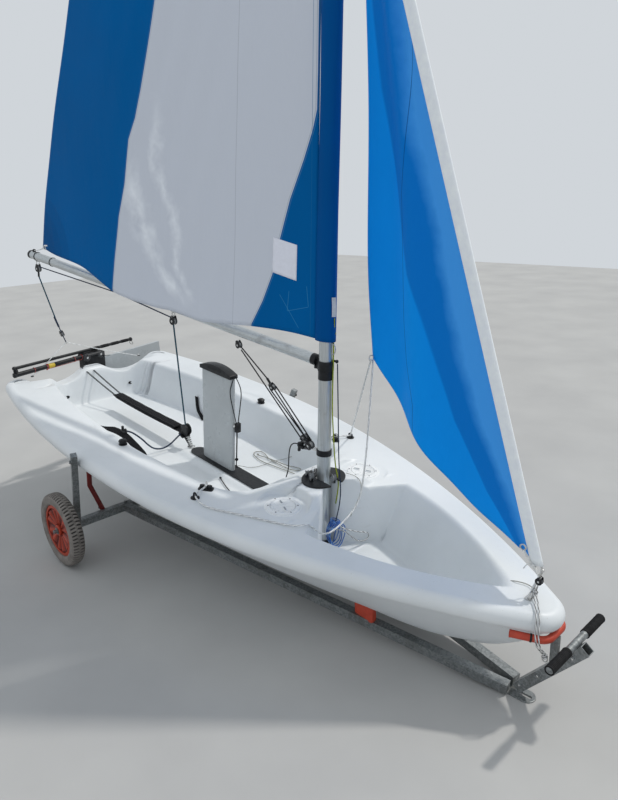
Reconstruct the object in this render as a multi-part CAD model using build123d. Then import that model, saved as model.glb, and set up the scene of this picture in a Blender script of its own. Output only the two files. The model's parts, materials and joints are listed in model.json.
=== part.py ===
"""Sailing dinghy with its rig and foils, standing on its launching trolley.

Lengths are millimetres and angles are degrees. Three frames are used:
- hull frame: x forward from the transom, y to port, z up from the keel line, deck level;
- mast frame: origin at the mast's heel, z along the mast;
- floor frame: x forward, y to port, z up from the floor. The trolley is drawn in it.
The whole model is finally shifted along x so that its box is centred on the origin.
"""
from build123d import *
import math
import os

# How the boat stands on its trolley
BOW_DOWN = 6.0          # the deck's slope to the floor
STERN_LIFT = 388.0      # height of the hull frame's origin over the floor
STERN_SHIFT = -16.7     # x of the hull frame's origin in the floor frame

# Hull outline seen from above
LENGTH = 3500.0
HALF_STERN = 580.0
HALF_BEAM = 714.0
BEAM_AT = 1200.0        # where the hull is widest
BOW_STARTS = 1600.0     # where the bow's tighter curve begins
NOSE_RADIUS = 105.0
CORNER_RADIUS = 90.0    # stern corners, seen from above

# Hull heights
DECK = 400.0
ROLL = 84.0            # thickness of the rounded gunwale
ROLL_ROUND = 40.0
TRANSOM_FACE = 8.4      # how far the transom stands in from the gunwale's aft edge
UNDERCUT = 45.0         # how far the topsides stand in from the gunwale's edge

# Cockpit, front well and thwart between them
COCKPIT_AFT = 95.0
THWART_AFT = 2110.0
THWART_FORE = 2450.0
SIDE_DECK = 275.0
COCKPIT_FLOOR = 185.0
COCKPIT_DRAFT = 14.0
WELL_FLOOR = 110.0
# Well rim and floor: half width aft, where it ends aft there, a place on its side, and its tip's x
WELL_SPAN = LENGTH - THWART_FORE
WELL_RIM = (325.0, THWART_FORE + 90,
            (THWART_FORE + 0.524 * WELL_SPAN, 180.0), THWART_FORE + 0.795 * WELL_SPAN)
WELL_BASE = (225.0, THWART_FORE + 110,
             (THWART_FORE + 0.381 * WELL_SPAN, 95.0), THWART_FORE + 0.571 * WELL_SPAN)
WELL_MOUTH = 170.0      # half the straight part of the thwart's front face
DIP_AT = 265.0          # lowest place of each dip in the transom, from the centreline
DIP_RADIUS = 300.0
DIP_FLOOR = 322.0

# Mast, boom and their slopes
MAST_HEEL = (2324.0, 0.0, 112.0)
MAST_RAKE = 2.44
MAST_RADIUS = 31.0
TOPMAST_RADIUS = 28.0
MAST_WALL = 3.0
MAST_JOIN = 2600.0
MAST_LENGTH = 5350.0
BAND_LOW = 820.0
BAND_HIGH = 860.0
GOOSENECK = 892.5       # height of the boom's pivot on the mast
NECK_RISE = 12.0        # how far the gooseneck's ring reaches over the pivot
BOOM_YAW = 7.1          # boom swung to starboard
BOOM_RISE = 6.4
BOOM_RADIUS = 25.0
BOOM_START = 72.0
BOOM_PLUG = 26.0
BOOM_END = 2345.0
BOOM_WALL = 3.0
VANG_AT = 530.0         # block for the downhaul tackle, along the boom
VANG_HEIGHT = 470.0     # its lower block, up the mast
SHEET_AT = (1005.0, 2290.0)
BLOCK_DROP = 52.0
SLOT_HALF = 52.0
HATCH_AT = (2322.0, 264.0)
HATCH_FLAT = 118.0
PEDESTAL_TOP = 446.0
COLLAR_THICK = 8.0

# Sails
CLOTH = 5.0
SLEEVE_WALL = 4.0
FIT = 0.3               # gap at curved seats
TACK_HEIGHT = 996.0
CLEW = (-2165.0, 1212.0)
LEECH_MID = (-1772.0, 2075.0)
HEAD = (-120.0, 5290.0)
FOOT = ((-1860.0, 1158.0), (-1560.0, 1085.0), (-1300.0, 1022.0),
        (-1000.0, 1000.0), (-600.0, 988.0), (-250.0, 1000.0))
BELLY = 75.0            # how far the sail's middle stands out to starboard
BELLY_CHORD = 2300.0
BOW_EYE_X = LENGTH - 128
JIB_TACK = (BOW_EYE_X + 15, 0.0, 545.0)
JIB_TACK_SHARE = 0.008
JIB_HEAD_SHARE = 0.93
JIB_CLEW = (2425.0, 150.0, 1034.0)
STAY_RING_HEIGHT = 3080.0
RING_HEIGHT = 24.0
WINDOW_RADIUS = 56.0    # window in the sleeve where the forestay reaches the mast
WINDOW_HEIGHT = 110.0
STAY_RADIUS = 4.0

# Daggerboard, and what stands on the cockpit floor aft of it
BOARD_AFT = 1372.0
BOARD_CHORD = 266.0
BOARD_FORE = BOARD_AFT + BOARD_CHORD
BOARD_THICK = 30.0
BOARD_TOP = 745.0
BOARD_BOTTOM = -115.0
BOARD_GAP = 1.0
CASE_TOP = 214.0
CASE_FORE = BOARD_FORE + 342    # front end of the ridge over the board's case
CASE_AFT = BOARD_AFT - 152
CASE_WIDTH = 130.0
CAPPING_MARGIN = 50.0
CAPPING_WIDTH = 92.0
CAPPING_THICK = 5.0
RATCHET_X = BOARD_AFT - 184
STRAP_FOOT_X = BOARD_AFT - 230
RATCHET_RISE = 122.0            # its wheel's centre over the floor
RATCHET_RADIUS = 33.0
STRAP_AFT = (395.0, 288.0)      # x and z of the toe strap's aft end, which cords hold up
STRAP_RISE = 113.0              # its fore end over the floor
STRAP_WIDTH = 62.0
STRAP_THICK = 12.0

# Rudder
RUDDER_AXIS_X = -45.0
BRACKETS = (166.0, 294.0)   # low faces of the two brackets on the transom
BRACKET_THICK = 16.0
TILLER_TURN = -78.0     # tiller swung to starboard
PINTLE_RADIUS = 6.0
STOCK_HALF = 30.0
STOCK_AFT = -150.0
STOCK_FORE = 24.0
STOCK_TOP = 448.0
STOCK_FOOT = 220.0
HEAD_FOOT = 356.0
PIN_TOP = 406.0         # the head's bore for the pin is closed over this
BLADE_SLOT_FORE = -23.0
BLADE_SLOT_TOP = 425.0
BLADE_SIDE_GAP = 5.0
BLADE_PIN = (-105.0, 335.0)
BLADE_LENGTH = 590.0
BLADE_OVER_PIN = 62.0
BLADE_CHORD = 150.0
BLADE_THICK = 20.0
TILLER_HEIGHT = 440.0
TILLER_RADIUS = 15.0
TILLER_TIP = 545.0
EXTENSION_RADIUS = 10.0
EXTENSION_LENGTH = 950.0

# Trolley, in the floor frame
AXLE_X = 1125.0
WHEEL_RADIUS = 200.0
WHEEL_WIDTH = 72.0
WHEEL_Y = 772.0
RIM_RADIUS = 142.0
AXLE_RADIUS = 10.0
AXLE_BEAM = 40.0
AXLE_HALF = 705.0
BEAM_AFT_Y = 400.0
BEAM_SIZE = 40.0
APEX = (LENGTH - 170, 0.0, 26.0)
BEAM_FORE_Y = 30.0
ARM_SIZE = 40.0
ARM_WALL = 3.0
ARM_TOP = (LENGTH + 98, 325.0)
ARM_FOOT = (LENGTH - 144, 30.0)
HANDLE_BELOW_TOP = 23.0
HANDLE_HALF = 196.0
HANDLE_RADIUS = 14.0
ARM_LINE = Vector(ARM_TOP[0] - ARM_FOOT[0], 0, ARM_TOP[1] - ARM_FOOT[1]).normalized()
HANDLE_SEAT = ARM_SIZE / 2 + HANDLE_RADIUS + FIT
HANDLE_AT = (ARM_TOP[0] - ARM_LINE.X * HANDLE_BELOW_TOP - ARM_LINE.Z * HANDLE_SEAT,
             ARM_TOP[1] - ARM_LINE.Z * HANDLE_BELOW_TOP + ARM_LINE.X * HANDLE_SEAT)
GRIP_RADIUS = 17.0
GRIP_LENGTH = 130.0
PAD_AT = 0.7714         # the soft blocks on the beams, as a share of the length
POST_SIZE = 30.0
POST_FOOT = (1130.0, 688.0, 205.0)
POST_TOP = (1335.0, 743.0, 668.0)

SIDES = (("starboard", -1), ("port", 1))
nodes = {}

HULL_FRAME = Pos(STERN_SHIFT, 0, STERN_LIFT) * Rot(0, BOW_DOWN, 0)
MAST_FRAME = HULL_FRAME * Pos(*MAST_HEEL) * Rot(0, -MAST_RAKE, 0)
BOOM_PLANE = MAST_FRAME * Rot(0, 0, BOOM_YAW)
BOOM_FRAME = BOOM_PLANE * Pos(0, 0, GOOSENECK) * Rot(0, BOOM_RISE, 0)
RUDDER_FRAME = HULL_FRAME * Pos(RUDDER_AXIS_X, 0, 0) * Rot(0, 0, TILLER_TURN)


def add(name, shape, place=Pos(0, 0, 0)):
    """Keep a finished piece under its name, moved from its own frame to the floor frame."""
    nodes[name] = place * shape


def rod(start, end, radius):
    """A round bar between two points."""
    start, end = Vector(start), Vector(end)
    line = end - start
    plane = Plane(origin=start, z_dir=line)
    return extrude(plane * Circle(radius), line.length)


def bar(start, end, width, height, wall=0.0):
    """A rectangular bar between two points, its height kept upright. A wall makes it a tube."""
    start, end = Vector(start), Vector(end)
    line = end - start
    across = Vector(0, 0, 1).cross(line)
    plane = Plane(origin=start, x_dir=across, z_dir=line)
    section = Rectangle(width, height)
    if wall:
        section -= Rectangle(width - 2 * wall, height - 2 * wall)
    return extrude(plane * section, line.length)


# Hull

def deck_edge(aft_x):
    """The deck's edge from above, from a station aft to the round nose: two tangent arcs a side."""
    aft_radius = (BEAM_AT ** 2 + (HALF_BEAM - HALF_STERN) ** 2) / (2 * (HALF_BEAM - HALF_STERN))
    turn = math.asin((BOW_STARTS - BEAM_AT) / aft_radius)
    normal = Vector(math.sin(turn), math.cos(turn))
    joint = Vector(BEAM_AT, HALF_BEAM - aft_radius) + normal * aft_radius
    nose = Vector(LENGTH - NOSE_RADIUS, 0)
    reach = nose - joint
    bow_radius = (reach.length ** 2 - NOSE_RADIUS ** 2) / (-2 * (normal.dot(reach) + NOSE_RADIUS))
    centre = joint - normal * bow_radius
    touch = nose + (nose - centre).normalized() * NOSE_RADIUS
    stern = Vector(aft_x, HALF_BEAM - aft_radius + math.sqrt(aft_radius ** 2 - (BEAM_AT - aft_x) ** 2))
    widest = Vector(BEAM_AT, HALF_BEAM)
    middle = (joint + touch) * 0.5
    crown = centre + (middle - centre).normalized() * bow_radius
    side = ThreePointArc(stern, widest, joint) + ThreePointArc(joint, crown, touch)
    edge = side + ThreePointArc(touch, (LENGTH, 0), (touch.X, -touch.Y)) + mirror(side, Plane.XZ)
    return make_face(edge + Line((stern.X, -stern.Y), (stern.X, stern.Y)))


def hull_outline():
    """The deck from above, with its stern corners rounded."""
    face = deck_edge(0.0)
    return fillet(face.vertices().sort_by(Axis.X)[:2], CORNER_RADIUS)


def inner_plan(inset, aft, fore, rounding):
    """An area inside the deck's edge between two stations, with its corners rounded."""
    inside = offset(deck_edge(-2 * inset), -inset)
    span = Pos((aft + fore) / 2, 0) * Rectangle(fore - aft, 2 * LENGTH)
    plan = inside & span
    ends = (plan.bounding_box().min.X, plan.bounding_box().max.X)
    corners = [v for v in plan.vertices() if min(abs(v.X - end) for end in ends) < 1]
    return fillet(corners, rounding)


def half_beam(x):
    """Half the deck's width at a station, read from the outline."""
    cut = deck_edge(-CORNER_RADIUS) & (Pos(x, 0) * Rectangle(1, 2 * LENGTH))
    return cut.bounding_box().max.Y


# Share of the length, keel height, half width at the bilge, bilge height, bilge radius
STATIONS = (
    (0.0, 70.0, 400.0, 100.0, 60.0),
    (0.2, 12.0, 430.0, 62.0, 60.0),
    (0.4286, 0.0, 410.0, 55.0, 60.0),
    (0.6286, 0.0, 290.0, 48.0, 50.0),
    (0.7714, 6.0, 170.0, 50.0, 40.0),
    (0.88, 32.0, 75.0, 80.0, 22.0),
    (0.9429, 140.0, 30.0, 175.0, 12.0),
    (0.9743, 240.0, 14.0, 262.0, 6.0),
)


def hull_station(share, keel, bilge_y, bilge_z, bilge_radius):
    """One cross-section of the hull below the gunwale."""
    x = share * LENGTH
    side = half_beam(x) - UNDERCUT
    top = DECK - ROLL / 2
    points = ((-side, top), (-bilge_y, bilge_z), (0, keel), (bilge_y, bilge_z), (side, top))
    face = make_face(Polyline(*points, close=True))
    low = [v for v in face.vertices() if abs(abs(v.X) - bilge_y) < 1e-3]
    face = fillet(low, bilge_radius)
    return Plane(origin=(x, 0, 0), x_dir=(0, 1, 0), z_dir=(1, 0, 0)) * face


def hull_body():
    """The hull below the gunwale: a smooth loft, and a straight one at the stem."""
    sections = [hull_station(*row) for row in STATIONS]
    body = loft(sections[:-1]) + loft(sections[-2:], ruled=True)
    inside = offset(hull_outline(), -TRANSOM_FACE)
    return body & extrude(inside, DECK)


MAST_X_AT_DECK = MAST_HEEL[0] - (PEDESTAL_TOP - MAST_HEEL[2]) * math.tan(math.radians(MAST_RAKE))


def raised_thwart():
    """The thwart's slopes up to the mast collar, with a round flat for each hatch cover."""
    low = Pos((THWART_AFT + THWART_FORE) / 2, 0, DECK - 12) * RectangleRounded(330, 840, 60)
    high = Pos(MAST_X_AT_DECK, 0, PEDESTAL_TOP) * RectangleRounded(190, 236, 60)
    hump = loft([low, high])
    for _, side in SIDES:
        hump -= Pos(HATCH_AT[0], side * HATCH_AT[1], DECK) * extrude(Circle(HATCH_FLAT), 60)
    return hump


def cockpit_space():
    """What is cut away for the cockpit: sloping walls inside the side decks."""
    plan = inner_plan(SIDE_DECK, COCKPIT_AFT, THWART_AFT, 110)
    depth = DECK + 1 - COCKPIT_FLOOR
    return extrude(Pos(0, 0, DECK + 1) * plan, amount=-depth, taper=COCKPIT_DRAFT)


def well_plan(half, aft, middle, tip):
    """The well from above: slanted corners at the thwart and two arcs that meet near the bow."""
    side = ThreePointArc((aft, half), middle, (tip, 0))
    mouth = THWART_FORE + (aft - WELL_RIM[1])
    back = Polyline((aft, -half), (mouth, -WELL_MOUTH), (mouth, WELL_MOUTH), (aft, half))
    return make_face(side + mirror(side, Plane.XZ) + back)


def well_space():
    """What is cut away for the well ahead of the mast."""
    rim = Pos(0, 0, DECK + 1) * well_plan(*WELL_RIM)
    base = Pos(0, 0, WELL_FLOOR) * well_plan(*WELL_BASE)
    return loft([rim, base], ruled=True)


def mast_slot():
    """The upright slot in the thwart, open to the well."""
    heel = Vector(*MAST_HEEL)
    length = THWART_FORE + 60 - heel.X
    plan = Pos(heel.X, 0) * Circle(SLOT_HALF)
    plan += Pos(heel.X + length / 2, 0) * Rectangle(length, 2 * SLOT_HALF)
    return extrude(Pos(0, 0, WELL_FLOOR) * plan, PEDESTAL_TOP)


def transom_dips():
    """Two round dips in the transom's lip."""
    dips = None
    for _, side in SIDES:
        centre = Plane.YZ * Pos(side * DIP_AT, DIP_FLOOR + DIP_RADIUS) * Circle(DIP_RADIUS)
        dip = Pos(-20, 0, 0) * extrude(centre, COCKPIT_AFT + 120)
        dips = dip if dips is None else dips + dip
    return dips


def board_slot(clearance):
    """The daggerboard's path through the hull."""
    length = BOARD_FORE - BOARD_AFT + 2 * clearance
    plan = SlotOverall(length, BOARD_THICK + 2 * clearance)
    return extrude(Pos((BOARD_AFT + BOARD_FORE) / 2, 0, -200) * plan, 700)


def build_hull():
    gunwale = extrude(Pos(0, 0, DECK - ROLL) * hull_outline(), ROLL)
    gunwale = fillet(gunwale.edges().filter_by(Plane.XY), ROLL_ROUND)
    hull = gunwale + hull_body() + raised_thwart()
    ridge_foot = COCKPIT_FLOOR - 5
    ridge = extrude(RectangleRounded(CASE_FORE - CASE_AFT, CASE_WIDTH, 40), CASE_TOP - ridge_foot, taper=20)
    hull -= cockpit_space()
    hull -= well_space()
    hull += Pos((CASE_AFT + CASE_FORE) / 2, 0, ridge_foot) * ridge
    hull -= mast_slot()
    hull -= board_slot(BOARD_GAP + 4)
    hull -= transom_dips()
    return hull


add("hull", build_hull(), HULL_FRAME)


# Deck fittings

def mast_collar():
    """Flat plate around the mast, open at the front like the slot below it."""
    x = MAST_X_AT_DECK
    plan = Pos(x, 0) * Ellipse(88, 116)
    plan -= Pos(x, 0) * Circle(MAST_RADIUS + 6)
    plan -= Pos(x + 75, 0) * Rectangle(150, 2 * (MAST_RADIUS + 4))
    return extrude(Pos(0, 0, PEDESTAL_TOP) * plan, COLLAR_THICK)


def hatch_cover():
    """Screw-in inspection cover in its ring, with a bar to turn it by."""
    cover = Cylinder(84, 6, align=(Align.CENTER, Align.CENTER, Align.MIN))
    cover += Pos(0, 0, 6) * Cylinder(70, 5, align=(Align.CENTER, Align.CENTER, Align.MIN))
    cover += Pos(0, 0, 11) * extrude(RectangleRounded(110, 18, 6), 7)
    return cover


def rowlock_plug():
    plug = Cylinder(15, 12, align=(Align.CENTER, Align.CENTER, Align.MIN))
    plug += Pos(0, 0, 12) * Cylinder(20, 10, align=(Align.CENTER, Align.CENTER, Align.MIN))
    return plug


def jib_cleat():
    """Fairlead and cam cleat on one base."""
    cleat = extrude(RectangleRounded(72, 34, 8), 8)
    cleat += Pos(-18, 0, 8) * Cylinder(11, 20, align=(Align.CENTER, Align.CENTER, Align.MIN))
    cleat += Pos(18, 0, 8) * Cylinder(11, 20, align=(Align.CENTER, Align.CENTER, Align.MIN))
    return cleat


add("mast_collar", mast_collar(), HULL_FRAME)

PLUG_AT = (1307.0, 470.0)
CLEAT_AT = (2003.0, 509.0)
plugs = []
cleats = []
for side_name, side in SIDES:
    add("hatch_" + side_name, Pos(HATCH_AT[0], side * HATCH_AT[1], DECK) * hatch_cover(), HULL_FRAME)
    plugs.append(Pos(PLUG_AT[0], side * PLUG_AT[1], DECK) * rowlock_plug())
    cleats.append(Pos(CLEAT_AT[0], side * CLEAT_AT[1], DECK) * Rot(0, 0, -35 * side) * jib_cleat())
add("rowlock_plugs", Compound(plugs), HULL_FRAME)
add("jib_cleats", Compound(cleats), HULL_FRAME)


def case_capping():
    """Gasket strip that lines the top of the daggerboard case."""
    aft, fore = CASE_AFT + CAPPING_MARGIN, CASE_FORE - CAPPING_MARGIN
    strip = extrude(SlotOverall(fore - aft, CAPPING_WIDTH), CAPPING_THICK)
    return Pos((aft + fore) / 2, 0, CASE_TOP) * strip - board_slot(BOARD_GAP)


def toe_strap():
    """Padded strap that runs along the cockpit floor, and its lower end bent down to the floor."""
    bend_x, bend_z = STRAP_FOOT_X - 37, COCKPIT_FLOOR + STRAP_RISE
    strap = bar((STRAP_AFT[0], 0, STRAP_AFT[1]), (bend_x, 0, bend_z), STRAP_WIDTH, STRAP_THICK)
    strap += bar((bend_x - 7, 0, bend_z + 2), (STRAP_FOOT_X, 0, COCKPIT_FLOOR - 10), STRAP_WIDTH - 12, 7)
    return strap - Pos(STRAP_FOOT_X, 0, COCKPIT_FLOOR + FIT - 25) * Box(2 * STRAP_WIDTH, 2 * STRAP_WIDTH, 50)


add("case_capping", case_capping(), HULL_FRAME)
add("toe_strap", toe_strap(), HULL_FRAME)


def ratchet_block():
    """Mainsheet block standing over the floor on its swivel post."""
    block = Cylinder(22, 6, align=(Align.CENTER, Align.CENTER, Align.MIN))
    block += Cylinder(9, RATCHET_RISE - RATCHET_RADIUS + 4, align=(Align.CENTER, Align.CENTER, Align.MIN))
    block += Pos(0, 0, RATCHET_RISE) * Rot(90, 0, 0) * Cylinder(RATCHET_RADIUS, 24)
    return block


add("ratchet_block", Pos(RATCHET_X, 0, COCKPIT_FLOOR) * ratchet_block(), HULL_FRAME)


def bow_eye():
    """Strap eye on the foredeck for the jib's tack and the painter."""
    eye = extrude(RectangleRounded(24, 60, 6), 4)
    arc = ThreePointArc((0, -20, 3), (0, 0, 24), (0, 20, 3))
    return eye + sweep(Plane(origin=(0, -20, 3), z_dir=arc % 0) * Circle(4), arc)


add("bow_eye", Pos(BOW_EYE_X, 0, DECK) * bow_eye(), HULL_FRAME)


def transom_fitting():
    """Two brackets on the transom and the long pin that the rudder hangs on."""
    fitting = None
    reach = TRANSOM_FACE - RUDDER_AXIS_X
    for low in BRACKETS:
        plan = Pos(RUDDER_AXIS_X + reach / 2, 0) * Rectangle(reach, 30) + Pos(RUDDER_AXIS_X, 0) * Circle(15)
        arm = Pos(0, 0, low) * extrude(plan, BRACKET_THICK)
        fitting = arm if fitting is None else fitting + arm
    pin = extrude(Circle(PINTLE_RADIUS), 260)
    return fitting + Pos(RUDDER_AXIS_X, 0, 140) * pin


add("transom_fitting", transom_fitting(), HULL_FRAME)


# Mast and boom

def tube(radius, wall, low, high):
    pipe = Cylinder(radius, high - low) - Cylinder(radius - wall, high - low)
    return Pos(0, 0, (low + high) / 2) * pipe


add("mast_lower", tube(MAST_RADIUS, MAST_WALL, 20, MAST_JOIN), MAST_FRAME)
STOP_TOP = STAY_RING_HEIGHT - RING_HEIGHT / 2 - 1
add("mast_upper", tube(TOPMAST_RADIUS, MAST_WALL, MAST_JOIN, MAST_LENGTH - 12)
    + tube(TOPMAST_RADIUS + 8, 9, STOP_TOP - 10, STOP_TOP), MAST_FRAME)
add("mast_foot", Cylinder(MAST_RADIUS + 4, 20, align=(Align.CENTER, Align.CENTER, Align.MIN)), MAST_FRAME)
add("masthead_cap", Pos(0, 0, MAST_LENGTH - 12) *
    Cylinder(TOPMAST_RADIUS + 2, 12, align=(Align.CENTER, Align.CENTER, Align.MIN)), MAST_FRAME)


def ring(radius, thick, low, high):
    return tube(radius + FIT + thick, thick, low, high)


add("mast_band", ring(MAST_RADIUS, 2, BAND_LOW, BAND_HIGH), MAST_FRAME)


def gooseneck():
    """Ring on the mast, its tongue and the plug that fills the boom's end."""
    low = BAND_HIGH + 1
    high = GOOSENECK + NECK_RISE
    neck = ring(MAST_RADIUS, 5, low, high)
    neck += Pos(-(MAST_RADIUS + 14), 0, (low + high) / 2) * Box(24, 20, high - low)
    plug = Pos(BOOM_PLUG / 2 - BOOM_START, 0, 0) * Rot(0, 90, 0) * Cylinder(BOOM_RADIUS + 1, BOOM_PLUG)
    return neck + Pos(0, 0, GOOSENECK) * Rot(0, BOOM_RISE, 0) * plug


add("gooseneck", gooseneck(), BOOM_PLANE)


def boom_tube():
    section = Circle(BOOM_RADIUS) - Circle(BOOM_RADIUS - BOOM_WALL)
    return Pos(-BOOM_END, 0, 0) * Rot(0, 90, 0) * extrude(section, BOOM_END - BOOM_START)


add("boom", boom_tube(), BOOM_FRAME)
add("boom_end", Pos(-BOOM_END - 9, 0, 0) * Rot(0, 90, 0) * Cylinder(BOOM_RADIUS + 1, 18), BOOM_FRAME)


def hanging_block(x, drop):
    """Block that hangs under the boom on a saddle."""
    block = Pos(-x, 0, -BOOM_RADIUS - 3 - FIT) * Box(44, 16, 6)
    block += Pos(-x, 0, -BOOM_RADIUS - drop / 2) * Box(10, 10, drop)
    block += Pos(-x, 0, -BOOM_RADIUS - drop) * Rot(90, 0, 0) * Cylinder(20, 18)
    return block


add("vang_boom_block", hanging_block(VANG_AT, BLOCK_DROP), BOOM_FRAME)
add("sheet_blocks", Compound([hanging_block(x, BLOCK_DROP) for x in SHEET_AT]), BOOM_FRAME)


def vang_mast_block():
    """Bracket and block low on the mast for the boom's downhaul tackle."""
    low = ring(MAST_RADIUS, 3, VANG_HEIGHT - 15, VANG_HEIGHT + 15)
    low += Pos(-(MAST_RADIUS + 20), 0, VANG_HEIGHT) * Box(36, 8, 12)
    low += Pos(-(MAST_RADIUS + 45), 0, VANG_HEIGHT) * Rot(90, 0, 0) * Cylinder(22, 20)
    return low


add("vang_mast_block", vang_mast_block(), BOOM_PLANE)


# Sails

def sail_section():
    """The sail from above: a shallow arc from the sleeve aft, its middle out to starboard."""
    start = -(MAST_RADIUS + FIT + 1)
    aft = (start + -BELLY_CHORD) / 2
    inner = ThreePointArc((start, CLOTH / 2), (aft, CLOTH / 2 - BELLY), (-BELLY_CHORD, CLOTH / 2))
    outer = ThreePointArc((start, -CLOTH / 2), (aft, -CLOTH / 2 - BELLY), (-BELLY_CHORD, -CLOTH / 2))
    ends = [Line(inner @ 0, outer @ 0), Line(inner @ 1, outer @ 1)]
    return make_face(Curve() + [inner, outer] + ends)


def mainsail():
    """Cloth with a belly and a foot that hangs beside the boom, and its sleeve over the mast."""
    sleeve = MAST_RADIUS + FIT
    tack = (-sleeve - 1, TACK_HEIGHT)
    luff_head = (-sleeve - 1, HEAD[1])
    edge = Spline(CLEW, *FOOT, tack) + ThreePointArc(CLEW, LEECH_MID, HEAD) + Polyline(HEAD, luff_head, tack)
    outline = extrude(Plane.XZ * make_face(edge), BELLY + CLOTH, both=True)
    cloth = Pos(0, 0, TACK_HEIGHT - 50) * extrude(sail_section(), HEAD[1] - TACK_HEIGHT + 100) & outline
    sail = cloth + tube(sleeve + SLEEVE_WALL, SLEEVE_WALL, TACK_HEIGHT, HEAD[1])
    return sail - Pos(0, 0, STAY_RING_HEIGHT) * Cylinder(WINDOW_RADIUS, WINDOW_HEIGHT)


add("mainsail", mainsail(), BOOM_PLANE)


def mast_point(height, fore=0.0):
    """A point on or ahead of the mast's axis, in the hull frame."""
    place = Pos(*MAST_HEEL) * Rot(0, -MAST_RAKE, 0) * Pos(fore, 0, height)
    return place.position


RING_RADIUS = TOPMAST_RADIUS + 12
STAY_FOOT = Vector(JIB_TACK[0] + 8, 0.0, JIB_TACK[2] - 20)
STAY_TOP = mast_point(STAY_RING_HEIGHT, RING_RADIUS + STAY_RADIUS + FIT)


def stay_point(share):
    """A point just aft of the forestay, a share of the way up it."""
    return STAY_FOOT + (STAY_TOP - STAY_FOOT) * share - Vector(STAY_RADIUS + 1, 0, 0)


def jib():
    """Flat cloth between the forestay, the clew and the head."""
    tack, head = stay_point(JIB_TACK_SHARE), stay_point(JIB_HEAD_SHARE)
    face = make_face(Polyline(tack, Vector(*JIB_CLEW), head, close=True))
    return thicken(face, CLOTH / 2, both=True)


add("jib", jib(), HULL_FRAME)


def stay_ring():
    """Ring that the forestay pulls on. The mast turns inside it."""
    low = STAY_RING_HEIGHT - RING_HEIGHT / 2
    return tube(RING_RADIUS, RING_RADIUS - TOPMAST_RADIUS - FIT, low, low + RING_HEIGHT)


def forestay():
    """Wire from the mast's ring to the jib's tack, and the lashing from there to the bow eye."""
    wire = rod(STAY_FOOT, STAY_TOP, STAY_RADIUS)
    lashing = rod(Vector(BOW_EYE_X, 0, DECK + 30), STAY_FOOT, 5)
    return wire + Pos(*STAY_FOOT) * Sphere(7) + lashing


add("stay_ring", stay_ring(), MAST_FRAME)
add("forestay", forestay(), HULL_FRAME)


# Daggerboard

def daggerboard():
    """Board with a rounded foot and faired edges."""
    length = BOARD_FORE - BOARD_AFT
    plan = SlotOverall(length, BOARD_THICK)
    board = extrude(Pos((BOARD_AFT + BOARD_FORE) / 2, 0, BOARD_BOTTOM) * plan, BOARD_TOP - BOARD_BOTTOM)
    return board


def daggerboard_handle():
    """Moulded grip over the board's top."""
    middle = (BOARD_AFT + BOARD_FORE) / 2
    half = (BOARD_FORE - BOARD_AFT) / 2
    side = Plane.XZ * make_face(
        Line((-half, 0), (half, 0)) + Line((half, 0), (half, 18)) +
        ThreePointArc((half, 18), (0, 44), (-half, 18)) + Line((-half, 18), (-half, 0)))
    grip = extrude(side, 26, both=True)
    return Pos(middle, 0, BOARD_TOP) * grip


add("daggerboard", daggerboard(), HULL_FRAME)
add("daggerboard_handle", daggerboard_handle(), HULL_FRAME)


# Rudder

def block(aft, fore, half, low, high):
    """A box between two stations and two heights, the same to both sides."""
    return Pos((aft + fore) / 2, 0, (low + high) / 2) * Box(fore - aft, 2 * half, high - low)


def rudder_stock():
    """Moulded head: knuckles on the pin, cheeks around the blade and a socket for the tiller."""
    pin_x, pin_z = BLADE_PIN
    low = BRACKETS[0] + BRACKET_THICK + 14
    high = BRACKETS[1] - 5
    knuckle = Pos(0, 0, low) * Cylinder(20, high - low, align=(Align.CENTER, Align.CENTER, Align.MIN))
    web = block(-60, -10, 20, low, high)
    cheeks = block(STOCK_AFT, BLADE_SLOT_FORE, STOCK_HALF, STOCK_FOOT, STOCK_TOP)
    head = block(STOCK_AFT, STOCK_FORE, STOCK_HALF, HEAD_FOOT, STOCK_TOP)
    stock = knuckle + web + cheeks + head
    stock -= block(2 * STOCK_AFT, BLADE_SLOT_FORE, BLADE_THICK / 2 + BLADE_SIDE_GAP, 0, BLADE_SLOT_TOP)
    stock -= Cylinder(PINTLE_RADIUS + FIT, 2 * PIN_TOP)
    stock += Pos(0, 0, PIN_TOP) * extrude(Circle(20), STOCK_TOP - PIN_TOP)
    stock += Pos(pin_x, 0, pin_z) * Rot(90, 0, 0) * Cylinder(8 - FIT, 2 * STOCK_HALF)
    return stock


def rudder_blade():
    """Blade shown raised: its length lies aft, its chord is upright."""
    pin_x, pin_z = BLADE_PIN
    tip = pin_x - BLADE_LENGTH
    top = pin_z + BLADE_OVER_PIN
    low = top - BLADE_CHORD
    points = ((pin_x + 30, top - 20), (pin_x - 10, top), (tip, top), (tip - 10, top - 90),
              (tip + 60, low + 35), (pin_x - 250, low), (pin_x - 60, low + 20), (pin_x + 30, pin_z - 30))
    blade = extrude(Plane.XZ * make_face(Polyline(*points, close=True)), BLADE_THICK / 2, both=True)
    blade -= Pos(pin_x, 0, pin_z) * Rot(90, 0, 0) * Cylinder(8, 100)
    return blade


def tiller():
    length = TILLER_TIP - STOCK_FORE
    return Pos(STOCK_FORE + length / 2, 0, TILLER_HEIGHT) * Rot(0, 90, 0) * Cylinder(TILLER_RADIUS, length)


EXT_PIVOT_X = TILLER_TIP - 15


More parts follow.
